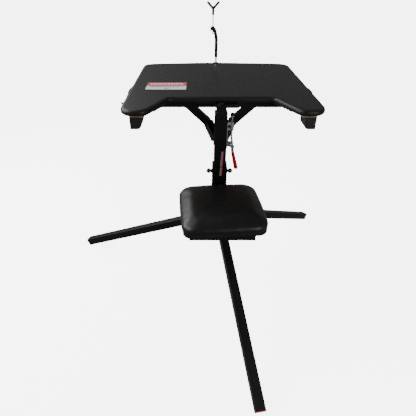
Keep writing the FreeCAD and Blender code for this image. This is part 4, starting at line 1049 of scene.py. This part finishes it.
def pin_heads(name, centres, radius, height, body):
    """Domed rivet heads on the clamp's front and back, facing along Y."""
    vertices, faces = [], []
    for centre, out in centres:
        base = len(vertices)
        for r in range(6):
            angle = math.pi / 2 * r / 5
            for k in range(18):
                turn = 2 * math.pi * k / 18
                flat = radius * max(math.cos(angle), 0.02)
                vertices.append(Vector((centre[0] + flat * math.cos(turn),
                                        centre[1] + out * height * math.sin(angle),
                                        centre[2] + flat * math.sin(turn))))
        for r in range(5):
            for k in range(18):
                a, b = base + r * 18 + k, base + r * 18 + (k + 1) % 18
                faces.append((a, b, b + 18, a + 18))
        faces.append(tuple(base + 5 * 18 + k for k in range(18)))
    piece = mesh_piece(name, vertices, faces, finish["zinc"], body)


frame_low, frame_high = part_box("clamp_frame")
rivets = [((CLAMP_PIVOT_X, frame_low.y, CLAMP_PIVOT_Z), -1),
          ((CLAMP_PIVOT_X, frame_high.y, CLAMP_PIVOT_Z), 1)]
pin_heads("clamp_rivets", rivets, 0.0058, 0.0022, "post")

# ---- floor, light and camera --------------------------------------------------------------------------
floor_material, floor_tree, floor_shader = new_material("studio_floor")
floor_tree.links.new(ramp(floor_tree, noise_node(floor_tree, object_coords(floor_tree), 1.5),
                          [(0.3, (0.86, 0.86, 0.86)), (0.7, (0.89, 0.89, 0.89))]),
                     floor_shader.inputs["Base Color"])
floor_shader.inputs["Roughness"].default_value = 0.9
floor_shader.inputs["Specular IOR Level"].default_value = 0.1
floor_shader.inputs["Emission Color"].default_value = (1, 1, 1, 1)
floor_shader.inputs["Emission Strength"].default_value = 5.5
floor = mesh_piece("studio_floor", [(-90, -90, -0.0005), (90, -90, -0.0005), (90, 90, -0.0005),
                                    (-90, 90, -0.0005)], [(0, 1, 2, 3)], floor_material, None)
floor.visible_diffuse = False
floor.visible_glossy = False

world = bpy.data.worlds.new("studio")
scene.world = world
world.use_nodes = True
world.node_tree.nodes["Background"].inputs["Color"].default_value = (1.0, 1.0, 1.0, 1)
world.node_tree.nodes["Background"].inputs["Strength"].default_value = 0.25


def lamp(name, kind, place, aim, power, **settings):
    data = bpy.data.lights.new(name, kind)
    data.energy = power
    for key, value in settings.items():
        setattr(data, key, value)
    lit = bpy.data.objects.new(name, data)
    lit.location = place
    lit.rotation_euler = (Vector(aim) - Vector(place)).to_track_quat("-Z", "Y").to_euler()
    scene.collection.objects.link(lit)


lamp("soft_top", "SUN", (-2.6, 1.5, 2.6), (0, 0, 0), 0.9, angle=math.radians(45))
lamp("left_box", "AREA", (-1.9, 0.0, 1.7), (-0.2, -0.1, 0.75), 52.0, shape="RECTANGLE", size=1.8, size_y=1.4)
lamp("back_box", "AREA", (-1.6, 1.7, 1.9), (-0.35, 0.1, 0.9), 17.0, shape="RECTANGLE", size=1.3, size_y=1.0)
lamp("front_box", "AREA", (1.7, -2.2, 1.4), (0.2, 0.0, 0.8), 24.0, shape="RECTANGLE", size=1.0, size_y=0.8)

camera_data = bpy.data.cameras.new("camera")
camera = bpy.data.objects.new("camera", camera_data)
scene.collection.objects.link(camera)
scene.camera = camera
camera_data.sensor_width = 36.0
camera_data.lens = 31.40
camera_data.shift_x = 0.01875
camera_data.shift_y = 0.0094
camera_data.clip_end = 300
camera.location = (-0.0840, -1.4250, 1.3389)
camera.rotation_euler = (math.radians(56.0), 0, 0)
